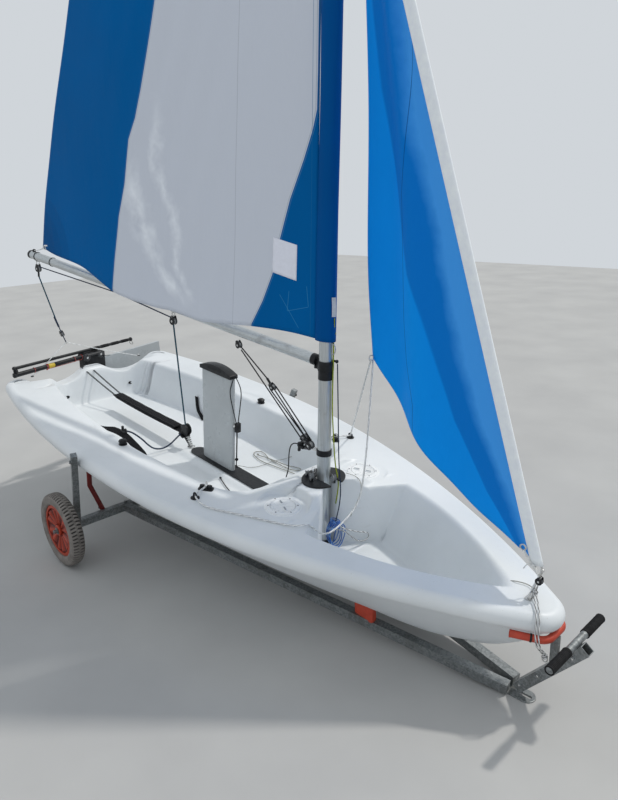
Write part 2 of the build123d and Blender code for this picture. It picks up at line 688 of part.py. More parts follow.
def tiller_extension():
    """Light stick with a pivot at the tiller's tip, folded back over it."""
    base = TILLER_HEIGHT + TILLER_RADIUS + FIT
    height = base + 30
    stick = rod((EXT_PIVOT_X, 0, height), (EXT_PIVOT_X - EXTENSION_LENGTH, 0, height - 14), EXTENSION_RADIUS)
    stick += Pos(EXT_PIVOT_X, 0, base) * Cylinder(12, 38, align=(Align.CENTER, Align.CENTER, Align.MIN))
    return stick


add("rudder_stock", rudder_stock(), RUDDER_FRAME)
add("rudder_blade", rudder_blade(), RUDDER_FRAME)
add("tiller", tiller(), RUDDER_FRAME)
add("tiller_extension", tiller_extension(), RUDDER_FRAME)


# Trolley

def axle_beam():
    """Square cross beam with round stubs that carry the wheels."""
    beam = Box(AXLE_BEAM, 2 * AXLE_HALF, AXLE_BEAM)
    stubs = Rot(90, 0, 0) * Cylinder(AXLE_RADIUS, 2 * (WHEEL_Y + WHEEL_WIDTH / 2 + 12))
    return Pos(AXLE_X, 0, WHEEL_RADIUS) * (beam + stubs)


add("axle", axle_beam())

for side_name, side in SIDES:
    foot = (AXLE_X + AXLE_BEAM / 2, side * BEAM_AFT_Y, WHEEL_RADIUS)
    add("side_beam_" + side_name,
        bar(foot, (APEX[0], side * BEAM_FORE_Y, APEX[2]), BEAM_SIZE, BEAM_SIZE) - nodes["axle"])


def wheel_tyre():
    """Fat air tyre, seen as a ring that is round at its shoulders."""
    half = WHEEL_WIDTH / 2
    inner = ((RIM_RADIUS, -half + 12), (RIM_RADIUS + 20, -half), (WHEEL_RADIUS - 22, -half))
    tread = ((WHEEL_RADIUS, -half + 20), (WHEEL_RADIUS, half - 20))
    outer = ((WHEEL_RADIUS - 22, half), (RIM_RADIUS + 20, half), (RIM_RADIUS, half - 12))
    return revolve(make_face(Polyline(*inner, *tread, *outer, close=True)), Axis.Y)


def wheel_rim():
    """Moulded rim: hub, spokes and the ring that the tyre sits on."""
    half = WHEEL_WIDTH / 2 - 8
    outer = RIM_RADIUS - FIT
    ring_face = Pos((outer + outer - 14) / 2, 0) * Rectangle(14, 2 * half)
    hub_face = Pos((AXLE_RADIUS + FIT + 30) / 2, 0) * Rectangle(30 - AXLE_RADIUS - FIT, 2 * half)
    rim = revolve(ring_face, Axis.Y) + revolve(hub_face, Axis.Y)
    for turn in range(0, 360, 60):
        spoke = Pos((28 + outer - 6) / 2, 0, 0) * Box(outer - 34, 30, 26)
        rim += Rot(0, turn, 0) * spoke
    return rim


for side_name, side in SIDES:
    centre = Pos(AXLE_X, side * WHEEL_Y, WHEEL_RADIUS)
    add("tyre_" + side_name, wheel_tyre(), centre)
    add("rim_" + side_name, wheel_rim(), centre)


def hitch_plate():
    """Slotted plate on the floor under the frame's apex."""
    plan = Pos(50, 0) * Rectangle(140, 70) + Pos(120, 0) * Circle(35)
    plan -= Pos(112, 0) * SlotOverall(60, 14)
    return Pos(APEX[0] - 60, 0, 0) * extrude(plan, APEX[2] - BEAM_SIZE / 2)


add("hitch_plate", hitch_plate())

ARM_ENDS = ((ARM_FOOT[0], 0, ARM_FOOT[1]), (ARM_TOP[0], 0, ARM_TOP[1]))
add("front_arm", bar(*ARM_ENDS, ARM_SIZE, ARM_SIZE, ARM_WALL))
handle_ends = [(HANDLE_AT[0], side * HANDLE_HALF, HANDLE_AT[1]) for _, side in SIDES]
add("handle", rod(*handle_ends, HANDLE_RADIUS))
grips = []
for side_name, side in SIDES:
    start = (HANDLE_AT[0], side * (HANDLE_HALF - GRIP_LENGTH), HANDLE_AT[1])
    end = (HANDLE_AT[0], side * HANDLE_HALF, HANDLE_AT[1])
    grips.append(rod(start, end, GRIP_RADIUS) - rod(start, end, HANDLE_RADIUS + FIT))
    foot = (POST_FOOT[0], side * POST_FOOT[1], POST_FOOT[2])
    top = (POST_TOP[0], side * POST_TOP[1], POST_TOP[2])
    add("gunwale_post_" + side_name, bar(foot, top, POST_SIZE, POST_SIZE) - nodes["axle"])
add("handle_grips", Compound(grips))


def support_arm(side):
    """Bent bar from the cross beam up to the hull's side."""
    foot = (AXLE_X - 28, side * 520, WHEEL_RADIUS + 5)
    knee = (AXLE_X - 14, side * 585, 385)
    return rod(foot, knee, 13) + Pos(*knee) * Sphere(13) + rod(knee, (AXLE_X + 45, side * 600, 560), 13)


SNUBBER_X = LENGTH - 14
SNUBBER_RADIUS = 14.0
ROLL_CENTRE_Z = DECK - ROLL + ROLL_ROUND
SNUBBER_REACH = ROLL_ROUND + SNUBBER_RADIUS + FIT
SNUBBER_Z = ROLL_CENTRE_Z - math.sqrt(SNUBBER_REACH ** 2 - (SNUBBER_X - LENGTH + ROLL_ROUND) ** 2)


def snubber():
    """Bent tube under the bow that the stem rests in."""
    path = FilletPolyline((SNUBBER_X - 112, -125, SNUBBER_Z), (SNUBBER_X, -62, SNUBBER_Z),
                          (SNUBBER_X, 62, SNUBBER_Z), (SNUBBER_X - 112, 125, SNUBBER_Z), radius=50)
    section = Plane(origin=path @ 0, z_dir=path % 0) * (Circle(SNUBBER_RADIUS) - Circle(SNUBBER_RADIUS - 3.5))
    return sweep(section, path)


def snubber_post():
    """Square post from the arm up to the snubber."""
    post = Pos(SNUBBER_X - 2, 0, 260) * Box(25, 25, 120)
    arm = bar(*ARM_ENDS, ARM_SIZE, ARM_SIZE)
    seat = Rot(90, 0, 0) * Cylinder(SNUBBER_RADIUS + FIT, 60)
    cut = post - arm - HULL_FRAME * Pos(SNUBBER_X, 0, SNUBBER_Z) * seat
    return cut.solids().sort_by(Axis.Z)[-1] if len(cut.solids()) > 1 else cut


def beam_pads():
    """Soft blocks on the side beams that the bottom rests on."""
    pads = []
    for side_name, side in SIDES:
        block = Pos(PAD_AT * LENGTH, side * 137, 120) * Box(110, 30, 90)
        block = block - nodes["side_beam_" + side_name] - nodes["hull"]
        pads.append(block.solids().sort_by(Axis.Z)[-1])
    return Compound(pads)


for side_name, side in SIDES:
    add("support_arm_" + side_name, support_arm(side) - nodes["hull"] - nodes["axle"])
add("snubber", snubber(), HULL_FRAME)
add("snubber_post", snubber_post())
add("beam_pads", beam_pads())


# Centre on the origin and write

boxes = [shape.bounding_box() for shape in nodes.values()]
X_SHIFT = -(min(box.min.X for box in boxes) + max(box.max.X for box in boxes)) / 2
os.makedirs("parts", exist_ok=True)
for name, shape in nodes.items():
    export_step(Pos(X_SHIFT, 0, 0) * shape, "parts/" + name + ".step")
print("shift", round(X_SHIFT, 2), "nodes", len(nodes))
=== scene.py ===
import json
import math
from math import cos, pi, sin

import bmesh
import bpy
import numpy as np
from mathutils import Matrix, Vector


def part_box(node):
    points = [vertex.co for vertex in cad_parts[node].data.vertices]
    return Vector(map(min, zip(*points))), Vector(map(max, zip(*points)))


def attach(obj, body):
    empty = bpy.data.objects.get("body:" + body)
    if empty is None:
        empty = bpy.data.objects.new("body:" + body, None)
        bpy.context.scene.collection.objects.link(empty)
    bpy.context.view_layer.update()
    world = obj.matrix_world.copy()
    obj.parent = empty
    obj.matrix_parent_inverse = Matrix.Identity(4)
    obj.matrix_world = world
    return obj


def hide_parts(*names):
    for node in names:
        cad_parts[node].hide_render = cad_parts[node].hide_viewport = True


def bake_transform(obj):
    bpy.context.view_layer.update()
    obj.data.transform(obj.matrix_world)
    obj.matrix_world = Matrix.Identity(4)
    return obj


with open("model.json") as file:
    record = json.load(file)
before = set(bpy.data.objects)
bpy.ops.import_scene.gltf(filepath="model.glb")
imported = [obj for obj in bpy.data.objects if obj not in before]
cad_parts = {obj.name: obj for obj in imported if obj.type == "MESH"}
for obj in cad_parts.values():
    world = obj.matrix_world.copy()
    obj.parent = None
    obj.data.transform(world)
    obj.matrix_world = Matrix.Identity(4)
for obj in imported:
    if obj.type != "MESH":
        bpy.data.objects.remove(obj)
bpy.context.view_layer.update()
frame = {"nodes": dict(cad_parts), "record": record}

NODES = frame["nodes"]

# Frames, metres and degrees: the same ones that the CAD source uses

AXLE_X, HALF_TRACK, WHEEL_RADIUS = 1.125, 0.772, 0.2
low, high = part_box("axle")
X_SHIFT = (low.x + high.x) / 2 - AXLE_X
BOW_DOWN, MAST_RAKE = 6.0, 2.44
BOOM_YAW, BOOM_RISE, BOOM_HEIGHT = 7.1, 6.4, 0.8925
TILLER_TURN, TILLER_HEIGHT = -78.0, 0.44
SIDES = ((-1, "starboard"), (1, "port"))


def shift(x, y, z):
    return Matrix.Translation((x, y, z))


def turn(degrees, axis):
    return Matrix.Rotation(math.radians(degrees), 4, axis)


FLOOR = shift(X_SHIFT, 0, 0)
HULL = FLOOR @ shift(-0.0167, 0, 0.388) @ turn(BOW_DOWN, "Y")
MAST = HULL @ shift(2.324, 0, 0.112) @ turn(-MAST_RAKE, "Y")
BOOM_PLANE = MAST @ turn(BOOM_YAW, "Z")
BOOM = BOOM_PLANE @ shift(0, 0, BOOM_HEIGHT) @ turn(BOOM_RISE, "Y")
RUDDER = HULL @ shift(-0.045, 0, 0) @ turn(TILLER_TURN, "Z")


def place(matrix, point):
    return matrix @ Vector(point)


def link(name, data):
    piece = bpy.data.objects.new(name, data)
    bpy.context.scene.collection.objects.link(piece)
    return piece


# Camera: fitted to the photograph's view, with its heading, its dip and its roll in degrees

CAMERA_PLACE, CAMERA_TURNS = (4.3548, -2.0018, 1.847), (136.48, 17.04, 1.95)
FOCAL_PIXELS, PICTURE_PIXELS, SENSOR = 664.46, 800, 36


def make_camera():
    yaw, pitch, roll = (math.radians(a) for a in CAMERA_TURNS)
    ahead = Vector((cos(yaw) * cos(pitch), sin(yaw) * cos(pitch), -sin(pitch)))
    right = Vector((sin(yaw), -cos(yaw), 0))
    down = ahead.cross(right)
    right_rolled = right * cos(roll) + down * sin(roll)
    down_rolled = down * cos(roll) - right * sin(roll)
    data = bpy.data.cameras.new("camera")
    data.lens = FOCAL_PIXELS * SENSOR / PICTURE_PIXELS
    camera = link("camera", data)
    rotation = Matrix((right_rolled, -down_rolled, -ahead)).transposed().to_4x4()
    camera.matrix_world = FLOOR @ Matrix.Translation(CAMERA_PLACE) @ rotation
    bpy.context.scene.camera = camera


make_camera()


# Materials

class Paint:
    """A node material with short calls for the nodes that most of them share."""

    def __init__(self, name, colour=(0.5, 0.5, 0.5), rough=0.5, metal=0.0):
        self.mat = bpy.data.materials.new(name)
        self.mat.use_nodes = True
        self.tree = self.mat.node_tree
        self.bsdf = self.tree.nodes["Principled BSDF"]
        self.set("Base Color", (*colour, 1))
        self.set("Roughness", rough)
        self.set("Metallic", metal)
        self.mat.diffuse_color = (*colour, 1)
        self.colour = None
        self.height = None

    def set(self, socket, value):
        self.bsdf.inputs[socket].default_value = value

    def node(self, kind, **inputs):
        made = self.tree.nodes.new(kind)
        for key, value in inputs.items():
            made.inputs[key].default_value = value
        return made

    def join(self, a, b):
        self.tree.links.new(a, b)

    def feed(self, socket, value):
        """Give a socket a colour, a number or what comes out of another node."""
        if isinstance(value, tuple):
            socket.default_value = (*value, 1)
        elif isinstance(value, (int, float)):
            socket.default_value = value
        else:
            self.join(value, socket)

    def mapped(self, source, **inputs):
        mapping = self.node("ShaderNodeMapping", **inputs)
        self.join(source, mapping.inputs["Vector"])
        return mapping.outputs["Vector"]

    def coords(self, scale=(1, 1, 1)):
        return self.mapped(self.node("ShaderNodeTexCoord").outputs["Object"], Scale=scale)

    def uv(self):
        """The texture coordinates whole, and their two numbers."""
        whole = self.node("ShaderNodeUVMap").outputs["UV"]
        parts = self.node("ShaderNodeSeparateXYZ")
        self.join(whole, parts.inputs[0])
        return whole, parts.outputs["X"], parts.outputs["Y"]

    def noise(self, scale, detail=3.0, rough=0.5, at=None):
        made = self.node("ShaderNodeTexNoise", Scale=scale, Detail=detail, Roughness=rough)
        self.join(at or self.coords(), made.inputs["Vector"])
        return made.outputs["Fac"]

    def math(self, how, *values):
        """Sum, product and the like of numbers or outputs; more than two are taken in turn."""
        made = self.tree.nodes.new("ShaderNodeMath")
        made.operation = how
        for socket, value in zip(made.inputs, values[:2]):
            self.feed(socket, value)
        return self.math(how, made.outputs[0], *values[2:]) if len(values) > 2 else made.outputs[0]

    def times(self, *values):
        return self.math("MULTIPLY", *values)

    def minus(self, a, b):
        return self.math("SUBTRACT", a, b)

    def size(self, value):
        return self.math("ABSOLUTE", value)

    def span(self, value, low, high, to_low=0.0, to_high=1.0):
        made = self.node("ShaderNodeMapRange")
        for key, number in (("From Min", low), ("From Max", high), ("To Min", to_low), ("To Max", to_high)):
            made.inputs[key].default_value = number
        self.join(value, made.inputs["Value"])
        return made.outputs["Result"]

    def mix(self, share, a, b):
        made = self.tree.nodes.new("ShaderNodeMix")
        made.data_type = "RGBA"
        for key, value in (("Factor", share), ("A", a), ("B", b)):
            self.feed(made.inputs[key], value)
        return made.outputs["Result"]

    def mottle(self, noise, a, b):
        """A colour that wanders from one to another with a noise."""
        self.use_colour(self.mix(self.span(noise, 0.3, 0.7), a, b))

    def use_colour(self, output):
        self.colour = output
        self.join(output, self.bsdf.inputs["Base Color"])

    def tint(self, share, colour):
        self.use_colour(self.mix(share, self.colour, colour))

    def roughen(self, noise, low, high):
        self.join(self.span(noise, 0.3, 0.7, low, high), self.bsdf.inputs["Roughness"])

    def bump(self, output, distance, strength=1.0):
        made = self.node("ShaderNodeBump", Distance=distance, Strength=strength)
        self.join(output, made.inputs["Height"])
        if self.height is not None:
            self.join(self.height, made.inputs["Normal"])
        self.height = made.outputs["Normal"]
        self.join(self.height, self.bsdf.inputs["Normal"])


def hull_paint():
    """Moulded polyethylene: slightly mottled, with dust, scuffs and an orange-peel skin."""
    p = Paint("hull_skin", (0.78, 0.81, 0.83), 0.42)
    p.use_colour(p.mix(p.span(p.noise(1.7, 4, 0.6), 0.35, 0.7), (0.8, 0.83, 0.85), (0.7, 0.735, 0.755)))
    p.tint(p.span(p.noise(170, 2, 0.5), 0.71, 0.77, 0, 0.5), (0.42, 0.4, 0.37))
    scuffs = p.noise(9, 8, 0.72, at=p.coords(scale=(0.35, 1, 2.2)))
    p.tint(p.span(scuffs, 0.63, 0.75, 0, 0.3), (0.5, 0.48, 0.44))
    p.roughen(p.noise(14, 4), 0.33, 0.55)
    p.bump(p.noise(60, 2), 0.0007, 0.6)
    return p.mat


def shade(colour, share):
    """A colour made this much darker or lighter."""
    return tuple(min(1.0, c * share) for c in colour)


def plain(name, colour, rough, metal=0.0, speckle=40.0, vary=0.12, bump=0.0, bump_scale=300.0, shine=0.5, deep=None):
    """A surface with small changes of colour and gloss, and a fine bump.

    Where it has a deep colour, that colour is painted shade, and the first texture coordinate says how much of it a
    hollow takes.
    """
    p = Paint(name, colour, rough, metal)
    p.set("Specular IOR Level", shine)
    lighter = tuple(min(1.0, c * (1 + vary) + vary * 0.02) for c in colour)
    p.mottle(p.noise(speckle, 5, 0.6), shade(colour, 1 - vary), lighter)
    p.roughen(p.noise(speckle * 2.3, 3), max(0.02, rough - 0.08), rough + 0.08)
    if bump:
        p.bump(p.noise(bump_scale, 3), bump)
    # the deep colour: painted shade in hollows
    if deep:
        p.tint(p.uv()[1], deep)
    return p.mat


def galvanised():
    """Hot-dip zinc: crystals of two greys, dull stains and an uneven skin."""
    p = Paint("zinc", (0.26, 0.275, 0.28), 0.5, 0.8)
    cells = p.node("ShaderNodeTexVoronoi", Scale=130.0)
    p.join(p.coords(), cells.inputs["Vector"])
    p.use_colour(p.mix(p.span(cells.outputs["Color"], 0.1, 0.9), (0.19, 0.205, 0.21), (0.34, 0.36, 0.365)))
    p.tint(p.span(p.noise(7, 6, 0.7), 0.5, 0.7, 0, 0.75), (0.15, 0.15, 0.142))
    p.roughen(p.noise(30, 4), 0.38, 0.62)
    p.bump(p.noise(90, 3), 0.0006)
    return p.mat


def spar_metal(name, along):
    """Anodised tube with fine drawing lines along it and some dull scuffs."""
    p = Paint(name, (0.62, 0.64, 0.66), 0.34, 0.9)
    lines = p.noise(240, 2, 0.5, at=p.coords(scale=along))
    p.mottle(lines, (0.47, 0.5, 0.51), (0.6, 0.63, 0.64))
    p.tint(p.span(p.noise(11, 7, 0.7), 0.58, 0.7, 0, 0.5), (0.34, 0.34, 0.335))
    p.roughen(p.noise(18, 4), 0.27, 0.48)
    p.bump(lines, 0.0002, 0.5)
    return p.mat


MATERIALS = {
    "hull_white": hull_paint(),
    "black_plastic": plain("black_nylon", (0.009, 0.01, 0.012), 0.42, vary=0.3, bump=0.0004, shine=0.28),
    "black_webbing": plain("webbing", (0.009, 0.009, 0.011), 0.8, shine=0.2, vary=0.3, bump=0.0008,
                           bump_scale=500.0),
    "spar_metal": spar_metal("mast_metal", (1, 1, 0.02)),
    "boom_metal": spar_metal("boom_metal", (0.02, 1, 1)),
    "steel_zinc": galvanised(),
    "stainless": plain("stainless", (0.62, 0.62, 0.61), 0.22, 1.0, vary=0.08),
    "foil_grey": plain("foil_gelcoat", (0.43, 0.46, 0.475), 0.3, speckle=5.0, vary=0.05, bump=0.0004,
                       bump_scale=25.0),
    "sail_main": plain("sail_cloth", (0.7, 0.72, 0.74), 0.55),
    "sail_jib": plain("sail_blue", (0.015, 0.17, 0.52), 0.5),
    # the tyre's and the rim's deep colours are painted shade in their grooves and hollows
    "tyre_rubber": plain("tyre", (0.215, 0.195, 0.178), 0.85, vary=0.25, speckle=25.0, bump=0.0006,
                         deep=(0.045, 0.042, 0.04)),
    "rim_orange": plain("rim_plastic", (0.44, 0.042, 0.011), 0.45, speckle=18.0, bump=0.0005,
                        deep=(0.075, 0.003, 0.002)),
    "red_pad": plain("red_sleeve", (0.5, 0.055, 0.025), 0.5, vary=0.18, speckle=20.0, bump=0.0006),
    "grip_black": plain("grip_rubber", (0.009, 0.009, 0.01), 0.75, shine=0.25, vary=0.3, bump=0.0005),
    "hatch_white": plain("hatch_plastic", (0.85, 0.87, 0.88), 0.3, vary=0.04, speckle=30.0, bump=0.0003),
}
BLACK, STEEL, ZINC = MATERIALS["black_plastic"], MATERIALS["stainless"], MATERIALS["steel_zinc"]
DARK_STEEL = plain("dark_steel", (0.12, 0.12, 0.125), 0.35, 0.7, vary=0.2)
SHEAVE = plain("sheave_grey", (0.2, 0.21, 0.22), 0.45, vary=0.15)
# a darker copy of the red sleeves for the support arms: painted shade
SHADED_ARM_RED = plain("arm_sleeve_painted_shade", (0.17, 0.014, 0.012), 0.6, vary=0.2, speckle=20.0, bump=0.0006)
OWN_MATERIAL = {"boom": MATERIALS["boom_metal"], "support_arm_starboard": SHADED_ARM_RED, "support_arm_port": SHADED_ARM_RED}
for row in frame["record"]["subparts"]:
    mesh = NODES[row["node"]].data
    mesh.materials.clear()
    mesh.materials.append(OWN_MATERIAL.get(row["node"], MATERIALS[row["material_slot"]]))

# The moulded and welded solids that stay get their edges softened
for node in ("rudder_stock", "case_capping", "daggerboard_handle", "mast_collar", "hitch_plate", "front_arm",
             "boom_end", "transom_fitting", "gooseneck", "masthead_cap", "snubber_post"):
    weld = NODES[node].modifiers.new("weld", "WELD")
    weld.merge_threshold = 0.00005
    bevel = NODES[node].modifiers.new("round", "BEVEL")
    bevel.width = 0.0016
    bevel.segments = 2
    bevel.angle_limit = math.radians(40)


# Mesh helpers

def make_piece(name, points, faces, material, body="root", uvs=None):
    mesh = bpy.data.meshes.new(name)
    mesh.from_pydata([tuple(p) for p in points], [], faces)
    mesh.materials.append(material)
    mesh.shade_smooth()
    if uvs is not None:
        layer = mesh.uv_layers.new(name="UVMap")
        corners = np.empty(len(mesh.loops), int)
        mesh.loops.foreach_get("vertex_index", corners)
        layer.data.foreach_set("uv", np.array(uvs, float)[corners].ravel())
    mesh.update()
    piece = link(name, mesh)
    if body:
        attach(piece, body)
    return piece


def grid_faces(rows, columns, start=0, wrap=False, loop=False):
    """Quads over a grid of points stored row by row; wrap closes each row, and loop joins the last to the first."""
    faces = []
    for i in range(rows if loop else rows - 1):
        a, b = start + i * columns, start + (i + 1) % rows * columns
        for j in range(columns if wrap else columns - 1):
            k = (j + 1) % columns
            faces.append((a + j, a + k, b + k, b + j))
    return faces


def skin(rows, columns, closed=False):
    """Faces round a stack of rings, which has a cap at each end or is closed into a loop."""
    last = (rows - 1) * columns
    caps = [] if closed else [tuple(range(columns)), tuple(last + i for i in range(columns))]
    return grid_faces(rows, columns, 0, True, closed) + caps


def thicken(piece, thickness, offset):
    solid = piece.modifiers.new("thickness", "SOLIDIFY")
    solid.thickness = thickness
    solid.offset = offset


class Joined:
    """One piece gathered from many shapes, each with a material of its own."""

    def __init__(self, matrix):
        self.matrix = matrix
        self.points, self.faces, self.uvs, self.slots, self.materials = [], [], [], [], []

    def add(self, shape, material, at=None):
        """Take in a shape; its material may be the name of a rope."""
        points, faces, uvs = shape
        material = ROPES.get(material, material)
        if material not in self.materials:
            self.materials.append(material)
        start = len(self.points)
        whole = self.matrix @ at if at else self.matrix
        self.points += [whole @ Vector(p) for p in points]
        self.uvs += uvs or [(0.0, 0.0)] * len(points)
        self.faces += [tuple(start + i for i in face) for face in faces]
        self.slots += [self.materials.index(material)] * len(faces)

    def rod(self, line, radius, material, sides=8, at=None):
        self.add(tube(line, radius, sides), material, at)

    def turned(self, profile, sides, material, at=None):
        self.add(lathe(profile, sides), material, at)

    def box(self, size, material, at):
        self.add(block(*size), material, at)

    def curve(self, route, radius, material, sides=8, resolution=8):
        """A line along the smooth curve that a route gives."""
        back = self.matrix.inverted()
        self.add(tube([back @ p for p in nurbs(route, self.matrix, resolution)], radius, sides), material)

    def finish(self, name, body="root", slot=None, sharp=38):
        piece = make_piece(name, self.points, self.faces, self.materials[0], body, uvs=self.uvs)
        mesh = piece.data
        for material in self.materials[1:]:
            mesh.materials.append(material)
        mesh.polygons.foreach_set("material_index", self.slots)
        built = bmesh.new()
        built.from_mesh(mesh)
        bmesh.ops.recalc_face_normals(built, faces=built.faces)
        built.to_mesh(mesh)
        built.free()
        mesh.set_sharp_from_angle(angle=math.radians(sharp))
        return piece


# Shapes: each is its points, its faces and its uvs

def ring_of(count):
    return [2 * pi * k / count for k in range(count)]


def tube(line, radius, sides=8, closed=False):
    """A round rod or rope along points; u runs to and fro round it, and v along it in metres."""
    line = [Vector(p) for p in line]
    ahead = (line[1] - line[0]).normalized()
    side = ahead.orthogonal().normalized()
    points, uvs, travelled = [], [], 0.0
    for k, p in enumerate(line):
        before = line[k - 1] if k or closed else p
        after = line[(k + 1) % len(line)] if k + 1 < len(line) or closed else p
        turned = (after - before).normalized()
        side = ahead.rotation_difference(turned) @ side
        side = (side - turned * side.dot(turned)).normalized()
        ahead = turned
        up = ahead.cross(side)
        travelled += (p - line[k - 1]).length if k else 0.0
        for i, a in enumerate(ring_of(sides)):
            points.append(p + (side * cos(a) + up * sin(a)) * radius)
            uvs.append((abs(2 * i / sides - 1), travelled))
    return points, skin(len(line), sides, closed), uvs


def hoop(centre, across, up, radius, sides=8, count=20):
    """A closed ring of rod about a centre, through the ends of two half axes."""
    centre, across, up = Vector(centre), Vector(across), Vector(up)
    return tube([centre + across * cos(a) + up * sin(a) for a in ring_of(count)], radius, sides, True)


def lathe(profile, sides=24, closed=False):
    """A turned shape round z from (radius, height) points; closed joins the last point to the first."""
    points = []
    for r, z in profile:
        points += [(max(r, 1e-5) * cos(a), max(r, 1e-5) * sin(a), z) for a in ring_of(sides)]
    uvs = [(k % sides / sides, k // sides * 0.01) for k in range(len(points))]
    return points, skin(len(profile), sides, closed), uvs


def plate(edge, thick, bevel=0.001):
    """A flat shape in x and y with rounded edges, from -thick/2 to thick/2 in z."""
    middle = sum((Vector(p) for p in edge), Vector((0, 0))) / len(edge)
    reach = max((Vector(p) - middle).length for p in edge)
    points = []
    for inset, z in ((bevel, -0.5), (0, -0.5 + bevel / thick), (0, 0.5 - bevel / thick), (bevel, 0.5)):
        for p in edge:
            q = middle + (Vector(p) - middle) * (1 - inset / reach)
            points.append((q.x, q.y, z * thick))
    return points, skin(4, len(edge)), [(p[0] * 8, p[1] * 8) for p in points]


def block(x, y, z, bevel=0.002):
    """A box with its corners cut, centred."""
    c = min(x, y) * 0.5 - bevel * 0.6
    hx, hy, b = x / 2, y / 2, min(bevel, c)
    edge = [(hx, -hy + b), (hx, hy - b), (hx - b, hy), (-hx + b, hy),
            (-hx, hy - b), (-hx, -hy + b), (-hx + b, -hy), (hx - b, -hy)]
    return plate(edge, z, min(bevel, z * 0.3))


def rounded(points, radius, count=5):
    """A closed outline in a plane with its corners rounded."""
    edge = []
    for k, p in enumerate(points):
        p, a, b = Vector(p), Vector(points[k - 1]), Vector(points[(k + 1) % len(points)])
        cut = min(radius, (a - p).length * 0.45, (b - p).length * 0.45)
        start, end = p + (a - p).normalized() * cut, p + (b - p).normalized() * cut
        for t in np.linspace(0, 1, count):
            edge.append(tuple(start * (1 - t) ** 2 + p * 2 * t * (1 - t) + end * t ** 2))
    return edge


def ribbon(line, across, thick):
    """A flat strap along points; across gives the half width's direction and size at every point."""
    points, uvs, travelled = [], [], 0.0
    for k, p in enumerate(line):
        p = Vector(p)
        ahead = Vector(line[min(k + 1, len(line) - 1)]) - Vector(line[max(k - 1, 0)])
        half = Vector(across if isinstance(across[0], (int, float)) else across[k])
        up = ahead.cross(half).normalized() * thick / 2
        travelled += (p - Vector(line[k - 1])).length if k else 0.0
        for s, t in ((-1, -0.6), (-0.97, -1), (0.97, -1), (1, -0.6), (1, 0.6), (0.97, 1), (-0.97, 1), (-1, 0.6)):
            points.append(p + half * s + up * t)
            uvs.append((s * half.length, travelled))
    return points, skin(len(line), 8), uvs


def looking_up(point, up, ahead=(1, 0, 0)):
    """A frame at a point whose z points up the given way and whose x is as near ahead as can be."""
    z = Vector(up).normalized()
    y = z.cross(Vector(ahead)).normalized()
    return shift(*point) @ Matrix((y.cross(z), y, z)).transposed().to_4x4()


def pulley(joined, at, radius, width, shell=BLACK, wheel=SHEAVE):
    """A block: two cheeks with a grooved sheave and a pin between them; the pin lies along y, the head up z."""
    edge = [(radius * cos(a), radius * sin(a)) for a in np.linspace(-1.15 * pi, 0.15 * pi, 20)]
    edge += [(radius * 0.42, radius * 1.5), (-radius * 0.42, radius * 1.5)]
    upright = turn(90, "X")
    for side in (-1, 1):
        joined.add(plate(edge, width * 0.16, width * 0.06), shell, at @ shift(0, side * width * 0.42, 0) @ upright)
        joined.turned([(radius * 0.3, 0), (radius * 0.3, width * 0.06), (radius * 0.18, width * 0.1)], 12, STEEL,
                      at @ shift(0, side * width * 0.5, 0) @ turn(-90 * side, "X"))
    groove = [(radius * (0.84 - 0.2 * cos(t * pi / 2)), t * width * 0.3) for t in np.linspace(-1, 1, 9)]
    joined.turned(groove, 28, wheel, at @ upright)
    joined.rod([(0, -width * 0.5, radius * 1.25), (0, width * 0.5, radius * 1.25)], radius * 0.16, STEEL, at=at)


def shackle(joined, at, size, rod):
    """A bow of rod that hangs down z from its pin, which lies along y."""
    arc = [(0, size * 0.5 * cos(a), -size * 0.75 - size * 0.5 * sin(a)) for a in np.linspace(0, pi, 11)]
    joined.rod([(0, size * 0.5, 0)] + arc + [(0, -size * 0.5, 0)], rod, STEEL, at=at)
    joined.rod([(0, -size * 0.7, 0), (0, size * 0.7, 0)], rod * 1.2, STEEL, at=at)


def knot(joined, point, size, material):
    """A small overhand knot: a rope that runs three times round itself."""
    turns = []
    for a in np.linspace(0, 2 * pi, 49)[:-1]:
        wide = size * (0.62 + 0.24 * cos(3 * a))
        turns.append((wide * cos(2 * a), wide * sin(2 * a), size * 0.42 * sin(3 * a)))
    joined.add(tube(turns, size * 0.36, 8, True), material, shift(*point))


def screw(parts, at, size=0.0035):
    """A countersunk screw head."""
    parts.turned([(size, 0), (size, size * 0.25), (size * 0.55, size * 0.42)], 14, DARK_STEEL, at)


def nurbs(route, matrix, resolution=8):
    """Points along the smooth curve that a rope's route gives."""
    data = bpy.data.curves.new("route", "CURVE")
    data.dimensions = "3D"
    data.resolution_u = resolution
    spline = data.splines.new("NURBS")
    spline.points.add(len(route) - 1)
    for point, p in zip(spline.points, route):
        point.co = (*place(matrix, p), 1)
    spline.order_u = 3
    spline.use_endpoint_u = True
    holder = link("route", data)
    line = bpy.data.meshes.new_from_object(holder)
    points = [v.co.copy() for v in line.vertices]
    bpy.data.objects.remove(holder)
    bpy.data.curves.remove(data)
    bpy.data.meshes.remove(line)
    return points


def free_cord(name, kind, diameter, route, body="root", extra=()):
    """A limp cord; its route is in the hull's frame and starts where the cord comes out."""
    line = nurbs(route, HULL)
    points, faces, uvs = tube(line, diameter / 2, 10)
    piece = make_piece(name, points, faces, ROPES[kind], body, uvs=uvs)


def end_knot(name, point, kind, size=0.006, body="root"):
    parts = Joined(HULL)
    knot(parts, point, size, kind)
    return parts.finish(name, body, "black_webbing")


# Ropes and fittings

